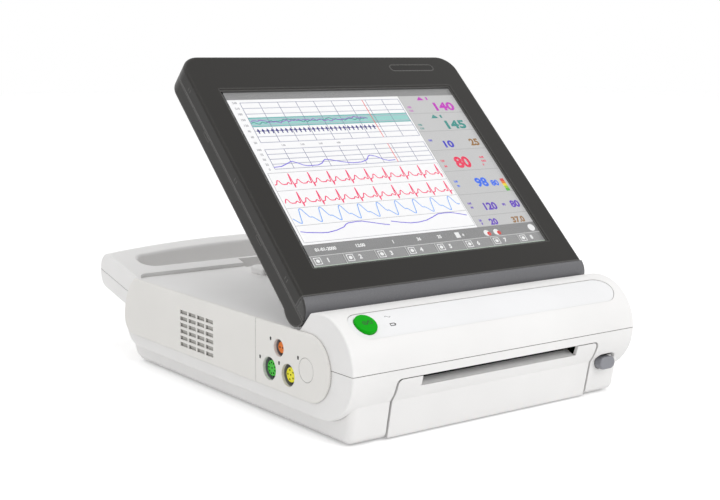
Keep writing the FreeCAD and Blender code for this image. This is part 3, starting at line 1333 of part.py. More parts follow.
def make_rear_cover():
    top = "screen_seam_z - screen_seam_gap"
    cover = Piece("rear_cover", "screen")
    cover.pad("xy", [screen_outline("0")], "-chin_r", f"chin_r + {top}")
    back = on_value("-chin_r", "z")
    cover.round("cover_round", lambda edge: back(edge) and middle(edge).y > NEAR)
    cover.rod("x", ("-screen_half", "0", "0"), "chin_r", "2 * screen_half")
    side = "screen_half + overrun"
    reach = "chin_r + overrun"
    cover.box((f"-({side})", f"-({reach})", top), (side, reach, reach), cut=True)
    cover.pad("xy", [screen_outline("screen_wall")], "cover_floor_z", "chin_r + overrun", cut=True)
    cover.rod("x", ("-screen_half + screen_wall", "0", "0"), "chin_r - screen_wall",
              "2 * (screen_half - screen_wall)", cut=True)
    pocket = "catch_half + catch_room"
    skin = "screen_wall"
    cover.box((f"-({pocket}) - {skin}", f"catch_pocket_low_y - {skin}", f"cover_floor_z - {skin} / 2"),
              (f"{pocket} + {skin}", f"catch_pocket_high_y + {skin}", f"catch_pocket_z + {skin}"))
    cover.box((f"-({pocket})", "catch_pocket_low_y", f"-({reach})"),
              (pocket, "catch_pocket_high_y", "catch_pocket_z"), cut=True)
    for side in BOTH_SIDES:
        for y in ("lcd_y - lcd_post_y", "lcd_y + lcd_post_y"):
            cover.rod("z", (f"{side} * lcd_post_x", y, "cover_floor_z - screen_wall / 2"), "lcd_post_r",
                      "lcd_low_z - cover_floor_z + screen_wall / 2")
        for y in ("lcd_y - driver_tall_half / 2", "lcd_y + driver_tall_half / 2"):
            cover.rod("z", (f"{side} * driver_half / 2", y, "cover_floor_z - screen_wall / 2"), "lcd_post_r",
                      "driver_z - cover_floor_z + screen_wall / 2")
        for y in ("cover_screw_low_y", "cover_screw_middle_y", "cover_screw_high_y"):
            x = f"{side} * cover_screw_x"
            cover.rod("z", (x, y, "cover_floor_z - screen_wall / 2"), "cover_post_r",
                      "lcd_low_z - fit_gap - cover_floor_z + screen_wall / 2")
            cover.rod("z", (x, y, "-chin_r - overrun"), "cover_screw_r + running_gap",
                      "2 * (chin_r + overrun)", cut=True)
            cover.rod("z", (x, y, "-chin_r - overrun"), "cover_head_r + fit_gap",
                      "cover_head_sink + overrun", cut=True)
        hinge = f"{side} * hinge_x"
        cover.box((f"{hinge} - notch_half", f"-({reach})", f"-({reach})"),
                  (f"{hinge} + notch_half", "notch_back_y", reach), cut=True)
    return cover.body


def make_cover_screws():
    screws = Piece("screen_screws", "screen")
    for side in BOTH_SIDES:
        for y in ("cover_screw_low_y", "cover_screw_middle_y", "cover_screw_high_y"):
            x = f"{side} * cover_screw_x"
            seat = "cover_head_sink - chin_r"
            screws.rod("z", (x, y, f"{seat} - cover_head_tall"), "cover_head_r", "cover_head_tall")
            screws.rod("z", (x, y, f"{seat} - running_gap"), "cover_screw_r", "chin_r - cover_head_sink")
    return screws.body


def make_display():
    glass = Piece("display_glass", "screen")
    half = "view_half + glass_border"
    tall = "view_tall_half + glass_border"
    glass.box((f"-({half})", f"lcd_y - ({tall})", "lcd_top_z"), (half, f"lcd_y + {tall}", "glass_top_z"))
    panel = Piece("lcd_panel", "screen")
    panel.box(("-lcd_half", "lcd_y - lcd_tall_half", "lcd_low_z"),
              ("lcd_half", "lcd_y + lcd_tall_half", "lcd_top_z"))
    driver = Piece("display_board", "screen")
    driver.box(("-driver_half", "lcd_y - driver_tall_half", "driver_z"),
               ("driver_half", "lcd_y + driver_tall_half", "driver_z + board_thick"))
    driver.box(("-chip_half", "lcd_y - chip_half", "driver_z + board_thick"),
               ("chip_half", "lcd_y + chip_half", "driver_z + board_thick + driver_chip"))
    return [glass.body, panel.body, driver.body]


def make_hinges():
    brackets = Piece("hinge_brackets")
    pins = Piece("hinge_pins", "screen")
    leaves = Piece("hinge_leaves", "screen")
    foot_low = "deck_in_z - bracket_foot_thick"
    front = "hinge_y - bracket_deep / 2"
    for side in BOTH_SIDES:
        x = f"{side} * hinge_x"
        low, high = f"{x} - bracket_half", f"{x} + bracket_half"
        brackets.box((low, front, foot_low), (high, "hinge_y + bracket_deep / 2", "hinge_z"))
        brackets.rod("x", (low, "hinge_y", "hinge_z"), "bracket_r", "2 * bracket_half")
        brackets.box((f"{x} - bracket_foot_half", front, foot_low),
                     (f"{x} + bracket_foot_half", f"{front} + bracket_foot_long", "deck_in_z"))
        brackets.rod("x", (f"{low} - overrun", "hinge_y", "hinge_z"), "pin_r + running_gap",
                     "2 * (bracket_half + overrun)", cut=True)
        pins.rod("x", (f"{x} - pin_half", "0", "0"), "pin_r", "2 * pin_half")
        outer = "notch_half + fit_gap + leaf_wide"
        leaves.box((f"{x} - ({outer})", "notch_back_y + fit_gap", "cover_floor_z"),
                   (f"{x} + {outer}", "leaf_plate_y", "cover_floor_z + leaf_thick"))
        for hand in BOTH_SIDES:
            inner = f"{x} + {hand} * (notch_half + fit_gap)"
            edges = sorted((inner, f"{x} + {hand} * ({outer})"), key=value)
            leaves.box((edges[0], "-leaf_half_z", "-leaf_half_z"), (edges[1], "leaf_back_y", "leaf_half_z"))
            leaves.box((edges[0], "notch_back_y + fit_gap", "cover_floor_z"),
                       (edges[1], "leaf_back_y", "leaf_half_z"))
        leaves.rod("x", (f"{x} - pin_half - overrun", "0", "0"), "pin_r", "2 * (pin_half + overrun)",
                   cut=True)
    return [brackets.body, pins.body, leaves.body]


def make_catch_block():
    catch = Piece("catch_block")
    catch.box(("-catch_half", "catch_front_y", "deck_z"),
              ("catch_half", "catch_rear_y", "deck_z + catch_tall"))
    top = on_value("deck_z + catch_tall", "z")
    catch.round("catch_round", top)
    return catch.body


def make_main_board():
    board = Piece("main_board")
    board.box(("-main_half", "main_front_y", "main_z"), ("main_half", "main_rear_y", "main_z + board_thick"))
    top = "main_z + board_thick"
    for place in (-2, 0, 2):
        x = f"{place} * 1.5 * chip_half"
        y = "(main_front_y + main_rear_y) / 2"
        board.box((f"{x} - chip_half", f"{y} - chip_half", top), (f"{x} + chip_half", f"{y} + chip_half",
                                                                  f"{top} + chip_tall"))
        board.box((f"{x} - plug_half", "main_rear_y - plug_deep", top),
                  (f"{x} + plug_half", "main_rear_y", f"{top} + plug_tall"))
    return board.body


def make_power_supply():
    supply = Piece("power_supply")
    supply.box(("supply_low_x", "supply_front_y", "supply_z"),
               ("supply_high_x", "supply_rear_y", "supply_z + board_thick"))
    top = "supply_z + board_thick"
    supply.box(("supply_core_x - supply_core_half", "supply_core_y - supply_core_half", top),
               ("supply_core_x + supply_core_half", "supply_core_y + supply_core_half",
                f"{top} + supply_core_tall"))
    for x in ("supply_low_x + 2 * supply_can_r", "supply_high_x - 2 * supply_can_r"):
        supply.rod("z", (x, "supply_front_y + 2 * supply_can_r", top), "supply_can_r", "supply_can_tall")
    return supply.body


def make_battery():
    """A row of cells in a sleeve, over a snap-in lid in the underside."""
    pack = Piece("battery_pack")
    pack.box(("battery_low_x", "battery_front_y", "battery_z"),
             ("battery_high_x", "battery_rear_y", "battery_z + battery_tall"))
    pack.round("battery_cell_r / 2", on_value("battery_z + battery_tall", "z"))
    lid = Piece("battery_cover")
    lid.box(("battery_low_x - lid_border + fit_gap", "battery_front_y - lid_border + fit_gap", "0"),
            ("battery_high_x + lid_border - fit_gap", "battery_rear_y + lid_border - fit_gap", "wall"))
    lid.box(("battery_low_x - lid_border - lid_lip", "battery_front_y - lid_border - lid_lip", "wall"),
            ("battery_high_x + lid_border + lid_lip", "battery_rear_y + lid_border + lid_lip",
             "wall + lid_lip_thick"))
    return [pack.body, lid.body]


def make_speaker():
    speaker = Piece("speaker")
    inner = "shell_half - wall"
    low, high = across(LEFT, f"{inner} - speaker_flange", inner)
    border = "window_border + speaker_border"
    speaker.box((low, f"vent_first_y - {border}", f"vent_first_z - {border}"),
                (high, f"vent_last_y + {border}", f"vent_last_z + {border}"))
    speaker.rod("x", (f"-({inner}) + speaker_flange / 2", "speaker_y", "speaker_z"), "speaker_r",
                "speaker_deep - speaker_flange / 2")
    speaker.rod("x", (f"-({inner}) - overrun", "speaker_y", "speaker_z"), "speaker_r - wall / 2",
                "overrun + speaker_flange * 2", cut=True)
    return speaker.body


def make_rear_connectors():
    inlet = Piece("mains_inlet")
    face = "rear_wall_y + inlet_flange_thick"
    z = "rear_row_z"
    inlet.box(("inlet_x - inlet_half", "rear_wall_y - inlet_deep", f"{z} - inlet_tall_half"),
              ("inlet_x + inlet_half", face, f"{z} + inlet_tall_half"))
    half, tall = "inlet_half + inlet_flange", "inlet_tall_half + inlet_flange"
    inlet.box((f"inlet_x - ({half})", "rear_wall_y", f"{z} - ({tall})"),
              (f"inlet_x + {half}", face, f"{z} + {tall}"))
    half, tall = "inlet_half - inlet_wall", "inlet_tall_half - inlet_wall"
    inlet.box((f"inlet_x - ({half})", f"{face} - inlet_well", f"{z} - ({tall})"),
              (f"inlet_x + {half}", f"{face} + overrun", f"{z} + {tall}"), cut=True)
    blades = Piece("inlet_blades")
    for place in (-1, 0, 1):
        x = f"inlet_x + {place} * blade_step"
        at = f"{z} + {1 if place == 0 else -1} * blade_drop"
        blades.box((f"{x} - blade_thick_half", f"{face} - inlet_well", f"{at} - blade_half"),
                   (f"{x} + blade_thick_half", f"{face} - blade_sunk", f"{at} + blade_half"))
    port = Piece("network_port")
    port.box(("port_x - port_half", "rear_wall_y - port_deep", f"{z} - port_tall_half"),
             ("port_x + port_half", "rear_wall_y", f"{z} + port_tall_half"))
    half, tall = "port_half - port_wall", "port_tall_half - port_wall"
    port.box((f"port_x - ({half})", "rear_wall_y - port_well", f"{z} - ({tall})"),
             (f"port_x + {half}", "rear_wall_y + overrun", f"{z} + {tall}"), cut=True)
    stud = Piece("earth_stud")
    stud.rod("y", ("stud_x", "rear_wall_y - wall - stud_nut_thick", z), "stud_nut_r", "stud_nut_thick")
    stud.rod("y", ("stud_x", "rear_wall_y - wall - stud_nut_thick", z), "stud_r",
             "wall + stud_nut_thick + stud_washer_thick + stud_long")
    stud.rod("y", ("stud_x", "rear_wall_y", z), "stud_washer_r", "stud_washer_thick")
    return [inlet.body, blades.body, port.body, stud.body]


def build():
    """Every sub-part, in the order in which the monitor is put together."""
    pieces = [make_lower_housing(), make_upper_housing(), make_feet(), make_housing_screws()]
    for side, word in ((LEFT, "left"), (RIGHT, "right")):
        pieces.append(make_socket_panel(side, f"{word}_socket_panel"))
        pieces.append(make_vent_panel(side, f"{word}_vent_panel"))
        pieces.append(make_sleeves(side, f"{word}_socket_sleeves"))
    pieces += make_inserts()
    pieces += [make_blank_plug(), make_hose_fitting()]
    pieces += [make_socket_board(LEFT, "probe_board"), make_socket_board(RIGHT, "vital_signs_board")]
    pieces += [make_label_plate(), make_lights(), make_power_button(), make_key_board(), make_power_dome()]
    pieces += [make_drawer_front(), make_paper_tray(), make_paper_pack(), make_rails()]
    pieces += make_platen()
    pieces += make_gears()
    pieces += [make_chassis(), make_motor()]
    pieces += make_print_head()
    pieces += make_release_button()
    pieces += [make_bezel(), make_lamp(), make_chin_trim(), make_rear_cover(), make_cover_screws()]
    pieces += make_display()
    pieces += make_hinges()
    pieces += [make_catch_block(), make_main_board(), make_power_supply()]
    pieces += make_battery()
    pieces.append(make_speaker())
    pieces += make_rear_connectors()
    return pieces


def check(pieces):
    """Stop unless every feature worked out and every sub-part is a sound solid."""
    for item in doc.Objects:
        if {"Invalid", "Error"} & set(item.State):
            raise RuntimeError(f"{item.Label} ({item.Name}) failed: {item.State}")
    for piece in pieces:
        shape = piece.Shape
        if shape.isNull() or not shape.isValid() or not shape.Solids:
            raise RuntimeError(f"{piece.Label} has no sound solid")


def write(pieces):
    os.makedirs("parts", exist_ok=True)
    for piece in pieces:
        piece.Shape.exportStep(f"parts/{piece.Label}.step")


fill_sheet()
all_pieces = build()
doc.recompute()
check(all_pieces)
write(all_pieces)
print(f"{len(all_pieces)} sub-parts written")
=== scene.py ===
"""A desk-top fetal monitor dressed for rendering: its finishes, its lit picture and its small details."""
import json
import math

import bpy
from bpy.props import FloatProperty, FloatVectorProperty, PointerProperty
from mathutils import Matrix, Vector


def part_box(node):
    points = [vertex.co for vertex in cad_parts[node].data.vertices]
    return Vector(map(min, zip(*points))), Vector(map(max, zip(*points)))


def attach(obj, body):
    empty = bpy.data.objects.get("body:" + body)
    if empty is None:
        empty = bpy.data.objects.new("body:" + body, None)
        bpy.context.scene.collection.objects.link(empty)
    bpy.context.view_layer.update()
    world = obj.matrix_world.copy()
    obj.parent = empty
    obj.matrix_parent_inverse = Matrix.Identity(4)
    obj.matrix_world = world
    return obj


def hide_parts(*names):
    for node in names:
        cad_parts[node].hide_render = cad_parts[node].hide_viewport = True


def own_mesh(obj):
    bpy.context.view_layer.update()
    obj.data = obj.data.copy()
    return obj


bl_info = {
    "name": "Fetal monitor",
    "version": (1, 0, 0),
    "blender": (4, 5, 0),
    "location": "3D View > Sidebar > Monitor",
    "description": "Dresses the monitor's solids with finishes, the screen's picture and the small details",
    "category": "Object",
}

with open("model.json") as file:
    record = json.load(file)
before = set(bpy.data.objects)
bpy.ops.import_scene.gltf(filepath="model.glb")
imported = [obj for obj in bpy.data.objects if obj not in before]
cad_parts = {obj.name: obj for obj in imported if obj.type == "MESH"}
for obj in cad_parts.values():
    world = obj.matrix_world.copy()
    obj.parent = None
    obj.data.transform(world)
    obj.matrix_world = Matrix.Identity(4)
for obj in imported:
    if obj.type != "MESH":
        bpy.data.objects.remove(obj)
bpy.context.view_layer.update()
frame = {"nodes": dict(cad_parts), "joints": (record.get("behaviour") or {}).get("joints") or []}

MM = 0.001
# A side's sign, its name, and which of a box's two corners lies on it
LEFT, RIGHT = -1, 1
SIDES = ((LEFT, "left", 0), (RIGHT, "right", 1))
JOINTS = {joint["name"]: joint for joint in frame["joints"]}
# The screen's own frame starts at its hinge: x runs along the chin, y up the screen, z out of its face
HINGE = Vector(JOINTS["screen_tilt"]["pos_m"])
SCREEN_LEAN = math.radians(-JOINTS["screen_tilt"]["range_deg"][0])
SCREEN = Matrix.Translation(HINGE) @ Matrix.Rotation(SCREEN_LEAN, 4, "X")
SCREEN_BACK = SCREEN.inverted()
# The power button is pressed straight into the nose's slope
PRESS_IN = Vector(JOINTS["power_press"]["axis"])
PRESS_LEAN = math.atan2(PRESS_IN.y, -PRESS_IN.z)
# Housing places are measured from the front of the base and its underside, in millimetres
BASE_MIDDLE, FOOT_PROUD = 193.6, 1.4
# The rounded nose and the film that lies on it
NOSE_Y, NOSE_Z, FILM_R = 25.2, 55.0, 39.5


def at(x, y, z):
    """A place on the housing, from millimetres to the frame."""
    return Vector((x, y - BASE_MIDDLE, z + FOOT_PROUD)) * MM


def linear(hex_colour):
    """An sRGB hex colour as linear red, green, blue and alpha."""
    parts = [int(hex_colour[place:place + 2], 16) / 255 for place in (1, 3, 5)]
    return [p / 12.92 if p <= 0.04045 else ((p + 0.055) / 1.055) ** 2.4 for p in parts] + [1.0]


def colour_prop(name, description, hex_colour):
    return FloatVectorProperty(name=name, description=description, subtype="COLOR", size=4, min=0.0, max=1.0,
                               default=linear(hex_colour))


def length_prop(name, description, millimetres):
    return FloatProperty(name=name, description=description, unit="LENGTH", default=millimetres * MM)


class MonitorColours(bpy.types.PropertyGroup):
    """Colours of the monitor's finishes."""
    housing: colour_prop("Housing", "White moulded housing", "#F2F1F0")
    panel: colour_prop("Side panels", "Warm white side panels", "#EEECE8")
    screen: colour_prop("Screen shell", "Charcoal screen shell", "#1F1D1A")
    # The trim's grey is partly its own colour and partly a painted highlight along the screen's rounded foot
    trim: colour_prop("Screen trim", "Satin trim along the screen's foot", "#68686B")
    button: colour_prop("Power button", "Green silicone key", "#00A80C")
    floor: colour_prop("Floor", "Pale studio floor", "#F4F4F4")


class MonitorSizes(bpy.types.PropertyGroup):
    """Sizes of the drawn and moulded details."""
    # Real mould grain is about a tenth of a millimetre, too fine to show, so it is drawn coarser
    grain: length_prop("Mould grain", "Size of the moulded plastic's grain", 0.45)
    key_mark: length_prop("Key mark", "Width of the black mark beside a socket", 2.4)
    contact: length_prop("Contact hole", "Radius of a contact hole in a socket's core", 0.75)
    core_rise: length_prop("Core rise", "How far a socket's core stands up in its well", 3.0)
    wire: length_prop("Spring wire", "Radius of the springs' wire", 0.35)
    trace: length_prop("Trace", "Width of a drawn trace on the screen", 0.85)


FINISHES = {}


def fill(tree, node, inputs):
    """Sets or links a node's inputs, by name or place; a node that is linked gives its first output."""
    for name, value in inputs.items():
        if isinstance(value, bpy.types.Node):
            value = value.outputs[0]
        if isinstance(value, bpy.types.NodeSocket):
            tree.links.new(value, node.inputs[name])
        else:
            node.inputs[name].default_value = value


def add_node(tree, kind, inputs=None, **settings):
    """Adds a node with its settings, and fills or links its inputs."""
    node = tree.nodes.new(f"ShaderNode{kind}")
    for name, value in settings.items():
        setattr(node, name, value)
    fill(tree, node, inputs or {})
    return node


def new_finish(name):
    """A new material that holds its shader and its output alone."""
    finish = FINISHES[name] = bpy.data.materials.new(name)
    finish.use_nodes = True
    tree = finish.node_tree
    tree.nodes.clear()
    shader = add_node(tree, "BsdfPrincipled")
    add_node(tree, "OutputMaterial", {"Surface": shader})
    return tree, shader


DRIFT_SIZE = 70 * MM
GRAIN_DEEP = 0.05 * MM
GLOSS_SWING = 0.05
# Nearly all of a noise lies between these
NOISE_LOW, NOISE_HIGH = 0.3, 0.7
# Painted shade in crevices and a painted highlight on convex edges, from ambient occlusion: which side of the
# surface is searched, how far, and the open shares between which the painted tint fades away
CREVICE_SHADE, EDGE_HIGHLIGHT = (False, 2.2 * MM, 0.2, 0.75), (True, 1.6 * MM, 0.74, 0.99)


def moulded(name, base, roughness, grain, bump=0.1, drift=0.04, crevice_shade=None, edge_highlight=None, soft_edge=0.0,
            specular=0.5, **shine):
    """A moulded or worked surface: fine grain, slow drift of colour, painted shade in its crevices, a painted
    highlight on its convex edges, and soft edges.
    """
    tree, shader = new_finish(name)
    place = add_node(tree, "TexCoord").outputs["Object"]
    fine = add_node(tree, "TexNoise", {"Vector": place, "Scale": 1 / grain, "Detail": 3.0})
    broad = add_node(tree, "TexNoise", {"Vector": place, "Scale": 1 / DRIFT_SIZE, "Detail": 2.0})
    shade = add_node(tree, "ValToRGB", {"Fac": broad})
    low, high = shade.color_ramp.elements
    low.position, high.position = NOISE_LOW, NOISE_HIGH
    low.color, high.color = [channel * (1 - drift) for channel in base[:3]] + [1.0], base
    colour = shade
    # Painted shade darkens the crevices, and a painted highlight lightens the convex edges, both by ambient
    # occlusion
    for painted_tint, (inside, reach, least, most) in ((crevice_shade, CREVICE_SHADE), (edge_highlight, EDGE_HIGHLIGHT)):
        if painted_tint:
            near = add_node(tree, "AmbientOcclusion", {"Distance": reach}, samples=6, inside=inside)
            plain = add_node(tree, "MapRange", {"Value": near.outputs["AO"], "From Min": least,
                                                "From Max": most})
            colour = add_node(tree, "Mix", {0: plain, 6: linear(painted_tint), 7: colour},
                              data_type="RGBA").outputs[2]
    gloss = add_node(tree, "MapRange", {
        "Value": fine, "From Min": NOISE_LOW, "From Max": NOISE_HIGH, "To Min": roughness - GLOSS_SWING,
        "To Max": roughness + GLOSS_SWING})
    relief = add_node(tree, "Bump", {"Height": fine, "Strength": bump, "Distance": GRAIN_DEEP})
    if soft_edge:
        fill(tree, relief, {"Normal": add_node(tree, "Bevel", {"Radius": soft_edge}, samples=4)})
    fill(tree, shader, {"Base Color": colour, "Roughness": gloss, "Normal": relief,
                        "Specular IOR Level": specular, **shine})
    return tree, shader, place, colour


LIT_COLOURS = {
    "white": "#FDFDFE", "title_dark": "#505050", "title_pale": "#8A8A8A", "column": "#C6C6C6",
    "rule": "#B2B2B2", "bar": "#868686", "keys": "#919191", "key_edge": "#D4D4D4", "key_shade": "#6C6C6C",
    "grid": "#B4B6C6", "grid_dark": "#777A9C", "axis": "#B2B2B6", "band": "#96D3CD", "band_edge": "#5FAFAD",
    "teal": "#1F8E8A", "violet": "#963CBE", "lilac": "#5C49DC", "arrow": "#1B127C", "cursor": "#EE3A30",
    "pink": "#F50062", "blue": "#5AA0F4", "magenta": "#C400BE", "deep_teal": "#008C84",
    "deep_blue": "#2317C4", "brown": "#94661C", "red": "#EE004C", "sky": "#0A66F0", "purple": "#571DBE",
    "amber": "#F4DC1E", "leaf": "#4DBB2A", "scarlet": "#DE2A22", "orange": "#F07C18", "lime": "#A6D222",
    "ink": "#F2F2F2", "edge": "#C2D4C2",
}
# One radian of the stripes, so that they lie 2.5 mm apart: eight times too wide, or they would not show
STRIPE_RADIAN = 0.4 * MM
# Blender's wave texture runs through this many radians in one unit
WAVE_RADIANS = 20
LIT_STRENGTH = 0.93


def lit(name, colour):
    """A lit liquid-crystal cell: its own light over dark colour-filter stripes."""
    tree, shader = new_finish(name)
    place = add_node(tree, "TexCoord").outputs["Object"]
    stripe = add_node(tree, "TexWave", {"Vector": place, "Scale": 1 / (WAVE_RADIANS * STRIPE_RADIAN)})
    shade = add_node(tree, "ValToRGB", {"Fac": stripe})
    for stop, dark in zip(shade.color_ramp.elements, ("#0E0E0F", "#1E1E20")):
        stop.color = linear(dark)
    fill(tree, shader, {"Base Color": shade, "Roughness": 0.5, "Emission Color": linear(colour),
                        "Emission Strength": LIT_STRENGTH})


# How far moulded edges are softened
HOUSING_EDGE, SHELL_EDGE, TRIM_EDGE, SMALL_EDGE = 0.5 * MM, 1.0 * MM, 3.5 * MM, 0.4 * MM
# The glass's wiping marks: their size, and the roughness that they swing between
WIPE_SIZE, WIPE_SMOOTH, WIPE_DULL = 40 * MM, 0.02, 0.06
# The trim's bare ends: how far from the end the lacquer thins out, and where it is gone
LACQUER_THINS, LACQUER_GONE = 0.8 * MM, 0.4 * MM


def make_finishes(colours, sizes):
    """Makes every finish, each named for its material and how it was worked."""
    grain = sizes.grain
    # Spark-eroded ABS: soft matt sheen, with painted shade in its joints and crevices; the lower housing's
    # pieces take a darker painted shade
    for name, base, roughness, crevice_shade in (("abs_white_moulded", colours.housing, 0.42, "#CFCDCB"),
                                           ("abs_white_dark_shaded", colours.housing, 0.42, "#75736F"),
                                           ("abs_warm_grey_moulded", colours.panel, 0.46, "#4A4845")):
        moulded(name, base[:], roughness, grain, 0.12, crevice_shade=crevice_shade, soft_edge=HOUSING_EDGE, IOR=1.52)
    # Fine-textured polycarbonate: near black, with a painted highlight along its convex edges
    moulded("pc_charcoal_moulded", colours.screen[:], 0.36, grain, 0.15, edge_highlight="#5A5957", soft_edge=SHELL_EDGE,
            IOR=1.5, specular=0.28)
    # The same resin lacquered, in a grey that is partly its own colour and partly a painted highlight along
    # the rounded foot: a long soft highlight, and dark bare ends
    tree, shader, place, lacquer = moulded("pc_charcoal_satin", colours.trim[:], 0.25, grain, 0.03,
                                           soft_edge=TRIM_EDGE, IOR=1.5)
    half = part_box("chin_trim")[1][0]
    along = add_node(tree, "SeparateXYZ", {"Vector": place})
    out = add_node(tree, "Math", {0: along.outputs["X"]}, operation="ABSOLUTE")
    bare = add_node(tree, "MapRange", {"Value": out, "From Min": half - LACQUER_THINS,
                                       "From Max": half - LACQUER_GONE})
    coat = add_node(tree, "Mix", {0: bare, 6: lacquer, 7: colours.screen[:]}, data_type="RGBA")
    fill(tree, shader, {"Base Color": coat.outputs[2]})
    # The same resin painted pale, as a painted highlight on the mould's raised marks
    moulded("pc_charcoal_highlit", linear("#5E5D5A"), 0.45, grain, 0.1)
    # Silicone rubber: even colour, soft gloss
    moulded("silicone_green", colours.button[:], 0.5, grain, 0.05, soft_edge=SMALL_EDGE, IOR=1.43,
            specular=0.15)
    # Glass-filled PBT: dense colour, dull gloss; the grey and slate ones have painted shade in their crevices
    moulded("pbt_grey", linear("#8E8F94"), 0.42, grain, crevice_shade="#4C4D50", soft_edge=SMALL_EDGE)
    moulded("pbt_slate", linear("#8B8C92"), 0.42, grain, crevice_shade="#3C3D40", soft_edge=SMALL_EDGE)
    moulded("pbt_black", linear("#232326"), 0.5, grain)
    for name, colour in (("pbt_orange", "#F07A08"), ("pbt_green", "#2FC41E"), ("pbt_yellow", "#F6EE04")):
        moulded(name, linear(colour), 0.4, grain, 0.05)
    # Plain black ABS of the inner pieces: dark, with a dull sheen
    moulded("abs_black", linear("#1E1E1F"), 0.4, grain)
    # Natural rubber: dead matt with a coarse skin
    moulded("rubber_black", linear("#19191A"), 0.7, 0.6 * MM, 0.2)
    # Acetal: milky, waxy
    moulded("acetal_natural", linear("#E6E2D6"), 0.35, grain, 0.04)
    # Hard-coated polyester film: a shade cooler and smoother than the housing, with a faint painted shade in
    # its crevices
    moulded("polyester_film", linear("#F0F0F1"), 0.36, grain, 0.04, crevice_shade="#DDDDDD")
    # Epoxy-glass board under green lacquer: blotchy, half gloss
    moulded("fr4_green", linear("#1D5B3A"), 0.35, 1.2 * MM, drift=0.3)
    # Thermal paper: chalky, with loose fibres
    moulded("paper_thermal", linear("#F6F4EF"), 0.75, 0.8 * MM, 0.2)
    # Zinc-plated steel, extruded aluminium and turned brass: bright, with fine working marks
    for name, colour, roughness in (("steel_zinc_plated", "#B9BBBE", 0.3), ("brass_turned", "#C9A24A", 0.28),
                                    ("aluminium_extruded", "#C9CBCE", 0.32)):
        moulded(name, linear(colour), roughness, 0.7 * MM, 0.05, Metallic=1.0)
    # Smoked acrylic over the lamp: as dark as the shell, and smoother
    moulded("acrylic_smoked", linear("#201E1C"), 0.12, grain, 0.02, IOR=1.49, specular=0.24)
    # Woven dust cloth behind the vents: mid grey, rough, with painted shade in its crevices
    moulded("polyester_gauze", linear("#C6C4C0"), 0.8, 0.6 * MM, 0.4, drift=0.15, crevice_shade="#56544F")
    # Screen-printed ink: flat and slightly rough
    for name, colour in (("ink_black", "#161616"), ("ink_dark_green", "#07470D"), ("ink_grey", "#77787C")):
        moulded(name, linear(colour), 0.6, 0.3 * MM, 0.05)
    # Black face of the display: smooth, faintly uneven
    moulded("lcd_face", linear("#0C0C0D"), 0.3, 0.25 * MM, 0.02)
    # Toughened glass coated against glare, so its index is low: clear, with wiping marks in its gloss
    tree, shader = new_finish("cover_glass")
    place = add_node(tree, "TexCoord").outputs["Object"]
    wiped = add_node(tree, "TexNoise", {"Vector": place, "Scale": 1 / WIPE_SIZE, "Detail": 4.0})
    gloss = add_node(tree, "MapRange", {"Value": wiped, "To Min": WIPE_SMOOTH, "To Max": WIPE_DULL})
    fill(tree, shader, {"Base Color": linear("#FFFFFF"), "Roughness": gloss, "IOR": 1.2,
                        "Transmission Weight": 1.0})
    for name, colour in LIT_COLOURS.items():
        lit(f"lcd_{name}", colour)


NODE_FINISH = {
    "abs_white_moulded": ("upper_housing", "catch_block", "paper_tray"),
    # These pieces take the white finish with the darker painted shade in their joints
    "abs_white_dark_shaded": ("lower_housing", "drawer_front", "battery_cover"),
    "abs_warm_grey_moulded": ("left_socket_panel", "right_socket_panel", "left_vent_panel",
                              "right_vent_panel", "blank_plug"),
    "pc_charcoal_moulded": ("front_bezel", "rear_cover"),
    "pc_charcoal_satin": ("chin_trim",),
    "acrylic_smoked": ("alarm_lamp",),
    "silicone_green": ("power_button",),
    "pbt_grey": ("left_socket_sleeves", "right_socket_sleeves", "right_socket_inserts", "drawer_rails"),
    "pbt_slate": ("release_button",),
    "pbt_orange": ("orange_socket_insert",),
    "pbt_green": ("green_socket_insert",),
    "pbt_yellow": ("yellow_socket_insert",),
    "abs_black": ("cuff_hose_fitting", "battery_pack", "speaker", "mains_inlet", "print_head"),
    "rubber_black": ("rubber_feet", "power_dome", "platen_rubber"),
    "acetal_natural": ("platen_gear", "idler_gear"),
    "polyester_film": ("label_plate", "light_pipes"),
    "fr4_green": ("main_board", "key_board", "probe_board", "vital_signs_board", "display_board",
                  "power_supply"),
    "paper_thermal": ("paper_pack",),
    "steel_zinc_plated": ("printer_chassis", "head_springs", "stepper_motor", "hinge_brackets",
                          "housing_screws", "release_spring", "hinge_pins", "hinge_leaves", "screen_screws",
                          "platen_shaft", "network_port", "lcd_panel"),
    "aluminium_extruded": ("head_heatsink",),
    "brass_turned": ("inlet_blades", "earth_stud", "motor_pinion"),
    "cover_glass": ("display_glass",),
}


class MONITOR_OT_finish_solids(bpy.types.Operator):
    """Gives every solid of the monitor its finish"""
    bl_idname = "monitor.finish_solids"
    bl_label = "Finish the solids"

    def execute(self, context):
        make_finishes(context.scene.monitor_colours, context.scene.monitor_sizes)
        for finish, nodes in NODE_FINISH.items():
            for name in nodes:
                mesh = frame["nodes"][name].data
                mesh.materials.clear()
                mesh.materials.append(FINISHES[finish])
        return {"FINISHED"}


def only(*pieces):
    """Selects these objects alone and makes the first the active one."""
    bpy.ops.object.select_all(action="DESELECT")
    for piece in pieces:
        piece.select_set(True)
    bpy.context.view_layer.objects.active = pieces[0]


def begin(kind, **settings):
    """Adds a primitive with nothing else selected, and opens it for editing."""
    bpy.ops.object.select_all(action="DESELECT")
    getattr(bpy.ops.mesh, f"primitive_{kind}_add")(**settings)
    bpy.ops.object.mode_set(mode="EDIT")
    bpy.ops.mesh.select_mode(type="VERT")
    bpy.ops.mesh.select_all(action="SELECT")
    return bpy.context.object


def begin_empty():
    """A piece with nothing in it yet, open for editing."""
    piece = begin("plane", size=MM)
    bpy.ops.mesh.delete(type="VERT")
    return piece


